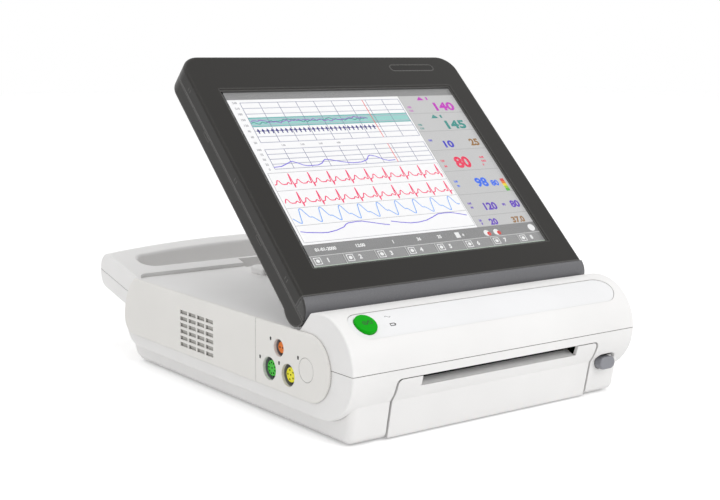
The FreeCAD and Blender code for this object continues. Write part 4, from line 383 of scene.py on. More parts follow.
def begin_point(place):
    """A piece of one point, open for editing."""
    piece = begin("plane", size=MM)
    bpy.ops.mesh.merge(type="CENTER")
    bpy.ops.transform.translate(value=place)
    return piece


def close():
    """Leaves edit mode, with every face turned outwards."""
    bpy.ops.mesh.select_all(action="SELECT")
    bpy.ops.mesh.normals_make_consistent(inside=False)
    bpy.ops.object.mode_set(mode="OBJECT")


def extrude(x, y, z):
    bpy.ops.mesh.extrude_region_move(TRANSFORM_OT_translate={"value": (x, y, z)})


def pick(piece, kind, test):
    """Selects, in edit mode, the faces by middle and normal, or the edges by their two ends."""
    bpy.ops.mesh.select_mode(type=kind)
    bpy.ops.mesh.select_all(action="DESELECT")
    bpy.ops.object.mode_set(mode="OBJECT")
    mesh = piece.data
    if kind == "FACE":
        for face in mesh.polygons:
            face.select = test(face.center, face.normal)
    else:
        for edge in mesh.edges:
            edge.select = test(*[mesh.vertices[index].co for index in edge.vertices])
    bpy.ops.object.mode_set(mode="EDIT")


# A face is level from this much of its normal upwards
LEVEL_FROM = 0.99


def raise_top(piece, border, rise):
    """Raises or sinks the flat top of a piece inside a border."""
    pick(piece, "FACE", lambda middle, normal: normal.z > LEVEL_FROM)
    bpy.ops.mesh.inset(thickness=border)
    extrude(0, 0, rise)


def paint(piece, *finishes):
    """Gives a piece its finishes; the faces picked in edit mode take the last one."""
    for finish in finishes:
        piece.data.materials.append(FINISHES[finish])
    piece.active_material_index = len(finishes) - 1
    bpy.ops.object.material_slot_assign()


def apply_modifier(piece, kind, **settings):
    """Adds a modifier to a piece and applies it."""
    only(piece)
    modifier = piece.modifiers.new(kind.lower(), kind)
    for name, value in settings.items():
        setattr(modifier, name, value)
    bpy.ops.object.modifier_apply(modifier=modifier.name)


def cut(piece, cutter):
    """Cuts one closed shape out of another, keeping the cutter's finish on the cut faces."""
    apply_modifier(piece, "BOOLEAN", object=cutter, operation="DIFFERENCE", solver="EXACT",
                   material_mode="TRANSFER")
    only(cutter)
    bpy.ops.object.delete()


def settle(piece, place=None):
    """Moves a piece's place into its mesh."""
    only(piece)
    bpy.context.view_layer.update()
    if place:
        piece.matrix_world = place @ piece.matrix_world
    bpy.ops.object.transform_apply(location=True, rotation=True, scale=True)


def joined(pieces):
    """One piece made of several."""
    only(*pieces)
    if len(pieces) > 1:
        bpy.ops.object.join()
    return pieces[0]


def copies(piece, places):
    """One piece made of a copy at every place, each copy with a mesh of its own."""
    made = []
    for place in places:
        only(piece)
        bpy.ops.object.duplicate(linked=False)
        made.append(bpy.context.object)
        settle(made[-1], place)
    only(piece)
    bpy.ops.object.delete()
    return joined(made)


SMOOTH_ANGLE = math.radians(35)


def hand_over(piece, name, body, finish=None, place=None, stands_for=()):
    """Sets a modelled piece in its place, smooths it, and gives it its name, finish and body."""
    settle(piece, place)
    bpy.ops.object.shade_smooth_by_angle(angle=SMOOTH_ANGLE)
    piece.name = piece.data.name = name
    if finish:
        piece.data.materials.clear()
        piece.data.materials.append(FINISHES[finish])
    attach(piece, body)
    if stands_for:
        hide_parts(*stands_for)


def screen_box(node):
    """A solid's lowest and highest corners in the screen's own frame."""
    places = [SCREEN_BACK @ vertex.co for vertex in frame["nodes"][node].data.vertices]
    return [Vector([choose(part) for part in zip(*places)]) for choose in (min, max)]


def side_turn(side):
    """Turns a flat drawing to face outwards on one side: its x runs along the depth, its y upwards."""
    return Matrix(((0, 0, side, 0), (side, 0, 0, 0), (0, 1, 0, 0), (0, 0, 0, 1)))


PRINT_THICK = 0.05 * MM
# A stroke's corner is eased over this share of a run at most
EASE_SHARE = 0.4
# How much a number's strokes are thickened, as a share of its height
NUMBER_WEIGHT = 0.04


def filled(boxes=(), rounds=(), thick=PRINT_THICK):
    """Flat filled shapes in millimetres: boxes by their sides, rounds by middle, corner count and size."""
    piece = begin_empty()
    for left, low, right, high in boxes:
        middle = ((left + right) / 2 * MM, (low + high) / 2 * MM, 0)
        bpy.ops.mesh.primitive_plane_add(size=MM, location=middle)
        bpy.ops.transform.resize(value=(right - left, high - low, 1), center_override=middle)
    for x, y, corners, wide, tall in rounds:
        middle = (x * MM, y * MM, 0)
        bpy.ops.mesh.primitive_circle_add(vertices=corners, radius=MM / 2, fill_type="NGON", location=middle)
        bpy.ops.transform.resize(value=(wide, tall, 1), center_override=middle)
    bpy.ops.mesh.select_all(action="SELECT")
    extrude(0, 0, thick)
    close()
    return piece


def level_line(y, left, right, wide):
    """A level line as a box."""
    return (left, y - wide / 2, right, y + wide / 2)


def upright_line(x, low, high, wide):
    """An upright line as a box."""
    return (x - wide / 2, low, x + wide / 2, high)


def outline(left, low, right, high, wide):
    """The four bars of an open frame as boxes."""
    return [(left, low, right, low + wide), (left, high - wide, right, high),
            (left, low, left + wide, high), (right - wide, low, right, high)]


def spread(first, last, count):
    """Evenly spaced values, with both ends."""
    return [first + (last - first) * index / (count - 1) for index in range(count)]


def eased(line, reach):
    """The same line with a point near each side of every corner, so that a stroke keeps its width there."""
    points = [line[0]]
    for (x, y), (x_next, y_next) in zip(line, line[1:]):
        share = min(EASE_SHARE, reach / math.hypot(x_next - x, y_next - y))
        points += [(x + (x_next - x) * share, y + (y_next - y) * share),
                   (x_next - (x_next - x) * share, y_next - (y_next - y) * share), (x_next, y_next)]
    return points


def stroked(lines, wide):
    """Drawn lines: each is a chain of points in millimetres, swept to a flat stroke."""
    strokes = []
    for line in lines:
        points = eased(line, wide / 2 / MM)
        piece = begin_point((points[0][0] * MM, points[0][1] * MM, 0))
        for (x, y), (x_next, y_next) in zip(points, points[1:]):
            extrude((x_next - x) * MM, (y_next - y) * MM, 0)
        bpy.ops.object.mode_set(mode="OBJECT")
        bpy.ops.object.convert(target="CURVE")
        piece.data.bevel_depth = wide / 2
        piece.data.bevel_resolution = 0
        piece.data.use_fill_caps = True
        bpy.ops.object.convert(target="MESH")
        piece.scale.z = PRINT_THICK / wide
        settle(piece)
        strokes.append(piece)
    return joined(strokes)


def lettered(items):
    """Plain numbers: each is its text, its middle and height in millimetres, and any stretch in its width."""
    made = []
    for text, x, y, tall, stretch in [(*item, 1)[:5] for item in items]:
        bpy.ops.object.select_all(action="DESELECT")
        bpy.ops.object.text_add()
        piece = bpy.context.object
        piece.data.body = text
        piece.data.size = tall * MM
        piece.data.offset = NUMBER_WEIGHT * tall * MM
        piece.data.extrude = PRINT_THICK / 2
        piece.data.resolution_u = 4
        bpy.ops.object.convert(target="MESH")
        sides = [[vertex.co[axis] for vertex in piece.data.vertices] for axis in (0, 1)]
        grow = tall * MM / (max(sides[1]) - min(sides[1]))
        piece.scale = (grow * stretch, grow, 1)
        piece.location = [place * MM - (max(side) + min(side)) / 2 * scale
                          for place, side, scale in zip((x, y), sides, piece.scale)] + [PRINT_THICK / 2]
        settle(piece)
        made.append(piece)
    return joined(made)


# The display's black face lies this far under the glass, sunk in a steel frame
FACE_DEPTH, FACE_SUNK = 0.55 * MM, 0.2 * MM
FRAME_WIDE, FRAME_ROUND = 5 * MM, 0.6 * MM


class MONITOR_OT_display_module(bpy.types.Operator):
    """Builds the display module: a steel frame round its black face"""
    bl_idname = "monitor.display_module"
    bl_label = "Display module"

    def execute(self, context):
        low, high = screen_box("lcd_panel")
        high.z = screen_box("display_glass")[0].z - FACE_DEPTH
        piece = begin("cube", size=1.0, location=(low + high) / 2, scale=high - low)
        raise_top(piece, FRAME_WIDE, -FACE_SUNK)
        paint(piece, "steel_zinc_plated", "lcd_face")
        bpy.ops.object.mode_set(mode="OBJECT")
        apply_modifier(piece, "BEVEL", width=FRAME_ROUND, segments=2, limit_method="ANGLE")
        hand_over(piece, "display_module", "screen", place=SCREEN, stands_for=("lcd_panel",))
        return {"FINISHED"}


# The picture's layers start just over the steel frame and rise by one step each
PICTURE_GAP, PICTURE_LIFT = 0.02 * MM, 0.08 * MM
# The picture's layout, in millimetres in the screen's own frame
PICTURE_LEFT, PICTURE_RIGHT, PICTURE_LOW, PICTURE_HIGH = -120.4, 128.5, 28.2, 215.6
COLUMN_LEFT = 60.2
TITLE_LOW, TITLE_SPLIT, STATUS_HIGH, STATUS_LOW = 204.2, 212.4, 49.4, 38.2
EDGE_TALL = 0.5
AREAS = (("ground", "white", (PICTURE_LEFT, STATUS_HIGH, COLUMN_LEFT, TITLE_LOW)),
         ("title_top", "title_dark", (PICTURE_LEFT, TITLE_SPLIT, PICTURE_RIGHT, PICTURE_HIGH)),
         ("title", "title_pale", (PICTURE_LEFT, TITLE_LOW, PICTURE_RIGHT, TITLE_SPLIT)),
         ("column", "column", (COLUMN_LEFT, STATUS_HIGH, PICTURE_RIGHT, TITLE_LOW)),
         ("status", "bar", (PICTURE_LEFT, STATUS_LOW, PICTURE_RIGHT, STATUS_HIGH)),
         ("key_row", "keys", (PICTURE_LEFT, PICTURE_LOW, PICTURE_RIGHT, STATUS_LOW)),
         ("lower_edge", "edge", (PICTURE_LEFT, PICTURE_LOW - EDGE_TALL, PICTURE_RIGHT, PICTURE_LOW)))
COLUMN_RULES, RULE_WIDE = (182.4, 160.4, 137.4, 112.6, 85.6, 61.2), 0.7
PANES, PANE_LEFT, PANE_RIGHT = (123.2, 104.4, 86.3, 68.5, 51.6), -118.2, 59.0
PANE_RULE, PANE_SIDE, PANE_BORDER = 0.44, 0.4, 1.0
CHART_LEFT, CHART_RIGHT, CHART_COLUMNS = -109.3, 58.2, 9
# Each chart's foot, top and rows, then its numbers' step upwards, first value and step in value
CHARTS = ((156.0, 200.6, 7, 6.37, 30, 30), (127.1, 148.3, 4, 5.3, 0, 25))
ROW_WIDE, LINE_WIDE = 0.76, 0.5
NUMBER_X, NUMBER_TALL = -114.4, 2.4
# The times under the first chart stand a little right of their lines, by this share of a column
TIME_COLUMNS, TIME_Y, TIME_TALL, TIME_SHIFT = (1, 2, 3, 4), 152.2, 1.9, 0.1
BAND_LOW, BAND_HIGH, BAND_EDGE = 173.6, 183.3, 1.0
CURSOR_X, CURSOR_WIDE = 17.5, 0.7
KICK_Y, KICK_FIRST, KICK_LAST, KICKS = 168.2, -105.7, 13.6, 27
KICK_STEM, KICK_TALL, KICK_RISE, KICK_HEAD = 1.2, 2.6, 0.8, (3, 4.2, 4.4)
# Each rate trace's name, layer, colour, middle height, reach and seed
RATES = (("first_rate", 4, "violet", 178.7, 2.6, 1), ("second_rate", 3, "teal", 178.9, 2.4, 4))
RATE_LEFT, RATE_RIGHT, RATE_STEP = -108.5, 13.5, 1.7
# A restless line keeps this share of its last height, and sways slowly besides
RATE_HOLD, SWAY_TURN, SWAY_SHARE = 0.62, 0.21, 0.45
# The usual factors for scattered numbers from a sine
SCATTER_STEP, SCATTER_SEED, SCATTER_GROW = 12.9898, 78.233, 43758.5453
BEAT = 19.3
HEARTS, HEART_TALL, HEART_BOLD = ((110.8, -118.9), (91.2, -120.0)), 11.2, 1.15
HEART_SHAPE = ((-0.3, 0.0), (-0.25, 0.12), (-0.19, 0.16), (-0.13, 0.02), (-0.06, 0.0), (0.0, 1.0),
               (0.045, -0.34), (0.09, 0.0), (0.2, 0.04), (0.27, 0.3), (0.32, 0.42), (0.37, 0.36),
               (0.44, 0.08), (0.52, 0.0))
PULSE_LOW, PULSE_TALL, PULSE_FIRST = 70.6, 14.6, -110.6
PULSE_SHAPE = ((0.0, 0.0), (0.03, 0.1), (0.1, 0.58), (0.16, 0.9), (0.2, 0.99), (0.25, 1.0), (0.31, 0.92),
               (0.4, 0.66), (0.49, 0.43), (0.55, 0.37), (0.61, 0.38), (0.66, 0.36), (0.8, 0.18), (0.9, 0.04),
               (0.96, 0.0))
BREATHS = (
    ((-116.3, 62.6), (-110, 61.2), (-103.7, 60.4), (-97, 59.6), (-91.3, 59.4), (-82, 60.8), (-74.0, 63.3),
     (-70.5, 65.8), (-67.7, 66.9), (-60, 67.4), (-53.9, 67.4), (-42.0, 64.3), (-35, 62.4), (-28.7, 61.1)),
    ((-25.6, 64.6), (-16, 62.4), (-6.6, 60.8), (2, 60.8), (11.0, 62.0), (19, 64.6), (26.4, 67.4), (33, 67.8),
     (41.4, 67.5), (49, 65.6), (56.6, 63.3)),
)
PRESSURE = ((-109.3, 129.1), (-102, 129.5), (-96, 131.8), (-91.5, 133.8), (-89.1, 134.3), (-85, 132.4),
            (-80, 129.6), (-76.1, 128.6), (-66, 128.8), (-61, 130.6), (-58.4, 133.2), (-56.3, 134.4),
            (-51, 133.7), (-40, 130.6), (-30.3, 128.9), (-21, 129.2), (-14, 131.4), (-10.8, 135.2),
            (-8.7, 136.2), (-3, 134.6), (4, 130.4), (8, 129.2), (15.6, 129.5))
READINGS = {
    "magenta": (("140", 107.4, 190.0, 10.4, 1.3), ("170", 66.0, 190.0, 2.4), ("110", 66.0, 185.8, 2.4)),
    "deep_teal": (("145", 107.6, 167.2, 10.4, 1.3), ("170", 66.0, 168.2, 2.4), ("110", 66.0, 164.0, 2.4)),
    "deep_blue": (("10", 85.4, 144.2, 8.4, 1.2), ("100", 66.8, 149.4, 2.4)),
    "brown": (("25", 116.2, 145.0, 8.4), ("37.0", 110.6, 53.4, 6.8)),
    "red": (("80", 88.2, 122.2, 13.4), ("120", 66.4, 125.0, 2.4), ("50", 66.4, 118.6, 2.4),
            ("0.05", 113.5, 126.6, 2.4), ("0.02", 113.5, 122.2, 2.4), ("0", 110.4, 117.8, 2.4)),
    "sky": (("98", 95.6, 97.8, 10.8), ("80", 110.2, 96.0, 6.8), ("100", 67.0, 100.6, 2.4),
            ("90", 67.0, 95.4, 2.4)),
    "purple": (("120", 88.6, 70.6, 8.4), ("80", 118.0, 70.8, 8.0), ("20", 81.4, 53.6, 7.0),
               ("160", 67.2, 75.4, 2.4), ("90", 67.2, 70.6, 2.4), ("90", 104.8, 71.0, 3.0),
               ("30", 67.6, 56.0, 2.4), ("8", 67.6, 52.6, 2.4)),
}
LEVEL_LEFT, LEVEL_RIGHT, LEVEL_LOW, LEVEL_STEP = 118.4, 122.8, 86.0, 2.85
LEVEL_COLOURS = ("leaf", "lime", "amber", "orange", "scarlet")
# Each signal sign is a triangle about its middle with a bar beside it
SIGNALS = (("signal_first", "magenta", 84.0, 200.0), ("signal_second", "deep_teal", 88.0, 177.4))
SIGNAL_HEAD, SIGNAL_BAR = (3, 9.4, 6.2), (7.0, -1.4, 9.0, 2.2)
KEY_COUNT, KEY_SEAM, KEY_LINE = 8, 0.2, 0.6
KEY_LINE_DROP, KEY_RULE = 0.4, 0.5
ICON_LEFT, ICON_LOW, ICON_SIDE, ICON_LINE, ICON_CORE = 2.6, 29.8, 6.6, 0.6, (20, 3.4, 3.4)
KEY_NUMBER_LEFT, KEY_NUMBER_TALL = 15.6, 4.4
STATUS_NUMBERS = (("01-01-2000", -102.0, 43.8, 3.4), ("12:00", -68.0, 43.8, 3.4), ("1", -35.0, 43.8, 3.4),
                  ("36", -8.0, 43.8, 3.4), ("25", 14.0, 43.8, 3.4), ("4", 39.8, 43.0, 3.0))
STATUS_BOX = (31.6, 40.6, 36.4, 46.4)
STATUS_LAMPS = ((66.4, 42.4, 24, 6.4, 6.4), (77.6, 42.4, 24, 6.4, 6.4), (119.6, 43.2, 24, 7.6, 7.6))
STATUS_STOPS = ((68.6, 41.4, 16, 4.2, 4.2), (80.0, 41.4, 16, 4.2, 4.2))


def picture_place(layer):
    """Where a layer of the picture lies, from the lit face up to the glass."""
    height = screen_box("display_glass")[0].z - FACE_DEPTH + PICTURE_GAP + layer * PICTURE_LIFT
    return SCREEN @ Matrix.Translation((0, 0, height))


def repeated(shape, low, tall, first):
    """A run of one beat's shape along a pane."""
    points = []
    beat = first
    while beat < PANE_RIGHT + BEAT:
        points += [(beat + share * BEAT, low + height * tall) for share, height in shape]
        beat += BEAT
    return [point for point in points if PANE_LEFT + PANE_BORDER < point[0] < PANE_RIGHT - PANE_BORDER]


def wavering(middle, reach, seed):
    """A restless line about a middle height, the same in every run."""
    points = []
    height = 0.0
    for index in range(int((RATE_RIGHT - RATE_LEFT) / RATE_STEP) + 1):
        swing = math.sin(index * SCATTER_STEP + seed * SCATTER_SEED) * SCATTER_GROW
        height = RATE_HOLD * height + (swing - math.floor(swing) - 0.5) * reach
        sway = math.sin(index * SWAY_TURN + seed) * reach * SWAY_SHARE
        points.append((RATE_LEFT + index * RATE_STEP, middle + height + sway))
    return points


class MONITOR_OT_picture(bpy.types.Operator):
    """Draws the screen's picture in thin layers under the glass: panes, charts, traces, numbers and keys"""
    bl_idname = "monitor.picture"
    bl_label = "Screen picture"

    def execute(self, context):
        self.trace = context.scene.monitor_sizes.trace
        self.panes()
        self.charts()
        self.traces()
        self.readings()
        self.keys()
        return {"FINISHED"}

    def lay(self, name, layer, colour, piece):
        hand_over(piece, f"picture_{name}", "screen", f"lcd_{colour}", picture_place(layer))

    def panes(self):
        for name, colour, box in AREAS:
            self.lay(name, 0, colour, filled([box]))
        rules = [level_line(y, COLUMN_LEFT, PICTURE_RIGHT, RULE_WIDE) for y in COLUMN_RULES]
        rules.append((COLUMN_LEFT, STATUS_HIGH, COLUMN_LEFT + RULE_WIDE, TITLE_LOW))
        self.lay("column_rules", 1, "rule", filled(rules))
        lines = [level_line(y, PANE_LEFT, PANE_RIGHT, PANE_RULE) for y in PANES]
        lines += [upright_line(x, PANES[-1], PANES[0], PANE_SIDE) for x in (PANE_LEFT, PANE_RIGHT)]
        self.lay("pane_rules", 1, "axis", filled(lines))

    def charts(self):
        rows, columns, cursors, numbers = [], [], [], []
        for low, high, count, step, first, more in CHARTS:
            rows += [level_line(y, CHART_LEFT, CHART_RIGHT, ROW_WIDE) for y in spread(low, high, count + 1)]
            columns += [upright_line(x, low, high, LINE_WIDE)
                        for x in spread(CHART_LEFT, CHART_RIGHT, CHART_COLUMNS + 1)]
            cursors.append(upright_line(CURSOR_X, low, high, CURSOR_WIDE))
            numbers += [(str(first + more * row), NUMBER_X, low + step * row, NUMBER_TALL)
                        for row in range(count + 1)]
        self.lay("band", 1, "band", filled([(CHART_LEFT, BAND_LOW, CHART_RIGHT, BAND_HIGH)]))
        edges = [level_line(y, CHART_LEFT, CHART_RIGHT, BAND_EDGE) for y in (BAND_LOW, BAND_HIGH)]
        self.lay("band_edges", 2, "band_edge", filled(edges))
        self.lay("chart_rows", 2, "grid", filled(rows))
        self.lay("chart_columns", 3, "grid_dark", filled(columns))
        self.lay("cursors", 4, "cursor", filled(cursors))
        kicks = spread(KICK_FIRST, KICK_LAST, KICKS)
        stems = [upright_line(x, KICK_Y - KICK_TALL, KICK_Y, KICK_STEM) for x in kicks]
        self.lay("kicks", 4, "arrow", filled(stems, [(x, KICK_Y + KICK_RISE, *KICK_HEAD) for x in kicks]))
        step = (CHART_RIGHT - CHART_LEFT) / CHART_COLUMNS
        numbers += [(f"{column}:00", CHART_LEFT + step * (column + TIME_SHIFT), TIME_Y, TIME_TALL)
                    for column in TIME_COLUMNS]
        self.lay("chart_numbers", 2, "axis", lettered(numbers))

    def traces(self):
        wide = self.trace
        for name, layer, colour, middle, reach, seed in RATES:
            self.lay(name, layer, colour, stroked([wavering(middle, reach, seed)], wide))
        self.lay("pressure", 4, "lilac", stroked([PRESSURE], wide))
        hearts = [repeated(HEART_SHAPE, low, HEART_TALL, first) for low, first in HEARTS]
        self.lay("hearts", 2, "pink", stroked(hearts, wide * HEART_BOLD))
        pulse = repeated(PULSE_SHAPE, PULSE_LOW, PULSE_TALL, PULSE_FIRST - BEAT)
        self.lay("pulse", 2, "blue", stroked([pulse], wide))
        self.lay("breath", 2, "lilac", stroked(BREATHS, wide))

    def readings(self):
        for colour, items in READINGS.items():
            self.lay(f"reading_{colour}", 2, colour, lettered(items))
        for step, colour in enumerate(LEVEL_COLOURS):
            y = LEVEL_LOW + LEVEL_STEP * step
            self.lay(f"level_{colour}", 2, colour, filled([(LEVEL_LEFT, y, LEVEL_RIGHT, y + LEVEL_STEP)]))
        left, low, right, high = SIGNAL_BAR
        for name, colour, x, y in SIGNALS:
            bar = (x + left, y + low, x + right, y + high)
            self.lay(name, 2, colour, filled([bar], [(x, y, *SIGNAL_HEAD)]))

    def keys(self):
        wide = (PICTURE_RIGHT - PICTURE_LEFT) / KEY_COUNT
        lefts = [PICTURE_LEFT + wide * index for index in range(KEY_COUNT)]
        top, seams = STATUS_LOW - KEY_LINE_DROP, [x + KEY_SEAM for x in lefts]
        edges = [(x, PICTURE_LOW, x + KEY_LINE, top) for x in seams]
        edges.append((PICTURE_LEFT, STATUS_LOW - KEY_RULE, PICTURE_RIGHT, STATUS_LOW))
        self.lay("key_edges", 1, "key_edge", filled(edges))
        shades = [(x - KEY_LINE, PICTURE_LOW, x, STATUS_LOW - KEY_RULE) for x in seams[1:]]
        self.lay("key_shades", 1, "key_shade", filled(shades))
        middle = ICON_LOW + ICON_SIDE / 2
        frames, cores, numbers = [], [], []
        for index, x in enumerate(lefts):
            left = x + ICON_LEFT
            frames += outline(left, ICON_LOW, left + ICON_SIDE, ICON_LOW + ICON_SIDE, ICON_LINE)
            cores.append((left + ICON_SIDE / 2, middle, *ICON_CORE))
            numbers.append((str(index + 1), x + KEY_NUMBER_LEFT, middle, KEY_NUMBER_TALL))
        self.lay("key_icons", 2, "ink", filled(frames, cores))
        self.lay("key_numbers", 2, "ink", lettered(numbers))
        self.lay("status_numbers", 2, "ink", lettered(STATUS_NUMBERS))
        self.lay("status_icons", 1, "ink", filled([STATUS_BOX], STATUS_LAMPS))
        self.lay("status_stops", 2, "scarlet", filled((), STATUS_STOPS))


CORE_SHARE, CORE_ROUND, CONTACT_DEEP = 0.72, 0.3 * MM, 3 * MM
HAIR = 0.01 * MM
# Contacts are given as their count on a ring, the ring's share of the radius, and one more in the middle
LEFT_CORES = {
    "orange_socket_insert": ("orange_socket_core", "pbt_orange", "orange_plastic", 2, 0.3, False),
    "green_socket_insert": ("green_socket_core", "pbt_green", "green_plastic", 9, 0.5, True),
    "yellow_socket_insert": ("yellow_socket_core", "pbt_yellow", "yellow_plastic", 5, 0.46, True),
}
# The right side's sockets lie opposite the left side's
RIGHT_CORES = {"orange_socket_insert": (2, 0.3, False), "green_socket_insert": (5, 0.46, True),
               "yellow_socket_insert": (7, 0.48, False)}


class MONITOR_OT_socket_cores(bpy.types.Operator):
    """Builds the sockets' contact blocks: a raised core with contact holes in a dark well"""
    bl_idname = "monitor.socket_cores"
    bl_label = "Socket cores"

    def core(self, node, side, finish, ring, share, centre):
        low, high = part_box(node)
        radius, deep = (high.y - low.y) / 2, high.x - low.x
        piece = begin("cylinder", vertices=48, radius=radius, depth=deep, location=(0, 0, -deep / 2))
        raise_top(piece, radius * (1 - CORE_SHARE), self.rise)
        # Read from the middle of the block: its face lies half its depth up, the core's top a rise above
        foot, top = deep / 2, deep / 2 + self.rise
        pick(piece, "EDGE", lambda one, two: min(one.z, two.z) > top - HAIR)
        bpy.ops.mesh.bevel(offset=CORE_ROUND, segments=2)
        pick(piece, "FACE", lambda middle, normal: middle.z < foot + HAIR)
        paint(piece, finish, "pbt_black")
        close()
        turns = [math.tau * index / ring for index in range(ring)]
        holes = [(share * radius * math.sin(turn), share * radius * math.cos(turn)) for turn in turns]
        holes += [(0.0, 0.0)] if centre else []
        cutter = begin_empty()
        for x, y in holes:
            bpy.ops.mesh.primitive_cylinder_add(vertices=14, radius=self.contact, depth=CONTACT_DEEP,
                                                location=(x, y, self.rise))
        close()
        cutter.data.materials.append(FINISHES["pbt_black"])
        cut(piece, cutter)
        place = Matrix.Translation((side * abs(low.x), (high.y + low.y) / 2, (high.z + low.z) / 2))
        settle(piece, place @ Matrix.Rotation(side * math.pi / 2, 4, "Y"))
        return piece

    def execute(self, context):
        sizes = context.scene.monitor_sizes
        self.rise, self.contact = sizes.core_rise, sizes.contact
        for node, (name, finish, slot, *holes) in LEFT_CORES.items():
            hand_over(self.core(node, LEFT, finish, *holes), name, "base", stands_for=(node,))
        cores = [self.core(node, RIGHT, "pbt_grey", *holes) for node, holes in RIGHT_CORES.items()]
        hand_over(joined(cores), "right_socket_cores", "base",
                  stands_for=("right_socket_inserts",))
        return {"FINISHED"}


VENT_FIRST_Y, VENT_STEP_Y, VENT_LONG, VENT_COLUMNS = 174.0, 14.2, 12.0, 4
VENT_FIRST_Z, VENT_STEP_Z, VENT_TALL, VENT_ROWS = 32.5, 5.6, 3.3, 6
GAUZE_DEEP, GAUZE_THICK, GAUZE_GAP = 1.9, 0.3, 0.06


class MONITOR_OT_vent_gauze(bpy.types.Operator):
    """Builds the dust cloth that shows in the vent slots"""
    bl_idname = "monitor.vent_gauze"
    bl_label = "Vent gauze"

    def execute(self, context):
        for side, name, corner in SIDES:
            tiles = []
            for column in range(VENT_COLUMNS):
                for row in range(VENT_ROWS):
                    y, z = VENT_FIRST_Y + column * VENT_STEP_Y, VENT_FIRST_Z + row * VENT_STEP_Z
                    ends = sorted((side * (y + GAUZE_GAP), side * (y + VENT_LONG - GAUZE_GAP)))
                    tiles.append((ends[0], z + GAUZE_GAP, ends[1], z + VENT_TALL - GAUZE_GAP))
            face = abs(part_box(f"{name}_vent_panel")[corner].x) / MM
            place = Matrix.Translation(at(side * (face - GAUZE_DEEP), 0, 0)) @ side_turn(side)
            hand_over(filled(tiles, thick=GAUZE_THICK * MM), f"{name}_vent_gauze", "base",
                      "polyester_gauze", place)
        return {"FINISHED"}


# Where a key mark stands from its socket's middle, along the depth and upwards
KEY_MARKS = {"orange_socket_insert": (11.2, 5.7), "green_socket_insert": (13.1, 7.3),
             "yellow_socket_insert": (12.2, 7.5), "blank_plug": (10.5, 7.9)}
# A mark is a hexagon with a tail, whose half width and length are shares of the mark's width
MARK_CORNERS, TAIL_HALF, TAIL_LONG = 6, 0.35, 0.75
# The power sign is two rings with strokes across them, a little up the button's slope
RING_R, RING_PLACES, RING_POINTS, SIGN_RISE = 1.5, (-1.5, 3.9), 25, 0.2 * MM
POWER_STROKES = (((0.1, -2.3), (2.3, 2.3)), ((-1.5, -0.8), (-1.5, 0.8)))
POWER_LINE, MAINS_LINE = 0.7 * MM, 0.5 * MM
SIGN_X, MAINS_ANGLE, BATTERY_ANGLE = -99.6, 63.0, 51.0
WAVE_HALF, WAVE_TALL, WAVE_POINTS = 2.6, 0.8, 13
# The battery sign's case, line and tip
CASE, CASE_LINE, CASE_TIP = (-2.6, -1.3, 2.0, 1.3), 0.6, (2.0, -0.6, 2.8, 0.6)


class MONITOR_OT_printed_marks(bpy.types.Operator):
    """Prints the key marks beside the sockets, the power sign, and the two signs beside the lights"""
    bl_idname = "monitor.printed_marks"
    bl_label = "Printed marks"

    def film(self, angle):
        """A place on the nose's film, level with the signs, by its angle round the nose."""
        turn = math.radians(angle)
        middle = at(SIGN_X, NOSE_Y - FILM_R * math.cos(turn), NOSE_Z + FILM_R * math.sin(turn))
        return Matrix.Translation(middle) @ Matrix.Rotation(math.pi / 2 - turn, 4, "X")

    def execute(self, context):
        wide = context.scene.monitor_sizes.key_mark / MM
        for side, name, corner in SIDES:
            marks, tails = [], []
            for node, (along, rise) in KEY_MARKS.items():
                low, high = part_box(node)
                x, z = side * ((high.y + low.y) / 2 / MM + along), (high.z + low.z) / 2 / MM + rise
                marks.append((x, z, MARK_CORNERS, wide, wide))
                tails.append((x - TAIL_HALF * wide, z - TAIL_LONG * wide, x + TAIL_HALF * wide, z))
            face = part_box(f"{name}_socket_panel")[corner].x
            hand_over(filled(tails, marks), f"{name}_key_marks", "base", "ink_black",
                      Matrix.Translation((face, 0, 0)) @ side_turn(side))

        low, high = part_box("power_button")
        middle, button = (low + high) / 2, frame["nodes"]["power_button"].data
        top = max((vertex.co - middle).dot(-PRESS_IN) for vertex in button.vertices)
        slope = Vector((0, math.cos(PRESS_LEAN), math.sin(PRESS_LEAN)))
        place = Matrix.Translation(middle - PRESS_IN * top + slope * SIGN_RISE)
        turns = spread(0, math.tau, RING_POINTS)
        rings = [[(x + RING_R * math.cos(turn), RING_R * math.sin(turn)) for turn in turns]
                 for x in RING_PLACES]
        hand_over(stroked([*rings, *POWER_STROKES], POWER_LINE), "power_sign", "power_button",
                  "ink_dark_green", place @ Matrix.Rotation(PRESS_LEAN, 4, "X"))

        wave = [(WAVE_HALF * share, WAVE_TALL * math.sin(math.pi * (share + 1)))
                for share in spread(-1, 1, WAVE_POINTS)]
        hand_over(stroked([wave], MAINS_LINE), "mains_sign", "base", "ink_grey",
                  self.film(MAINS_ANGLE))
        hand_over(filled([*outline(*CASE, CASE_LINE), CASE_TIP]), "battery_sign", "base",
                  "ink_black", self.film(BATTERY_ANGLE))
        return {"FINISHED"}


# Along the screen's sides: pairs of ticks and slim notch frames, by their height up the screen
TICK_PLACES, TICK_APART, TICK_WIDE, TICK_LOW, TICK_HIGH = (22.0, 120.4, 219.0), 3.2, 0.5, 5.4, 8.8
NOTCH_PLACES, NOTCH_LOW, NOTCH_HIGH, NOTCH_LINE = ((61.5, 71.5), (169.5, 179.5)), -2.2, 0.5, 0.35


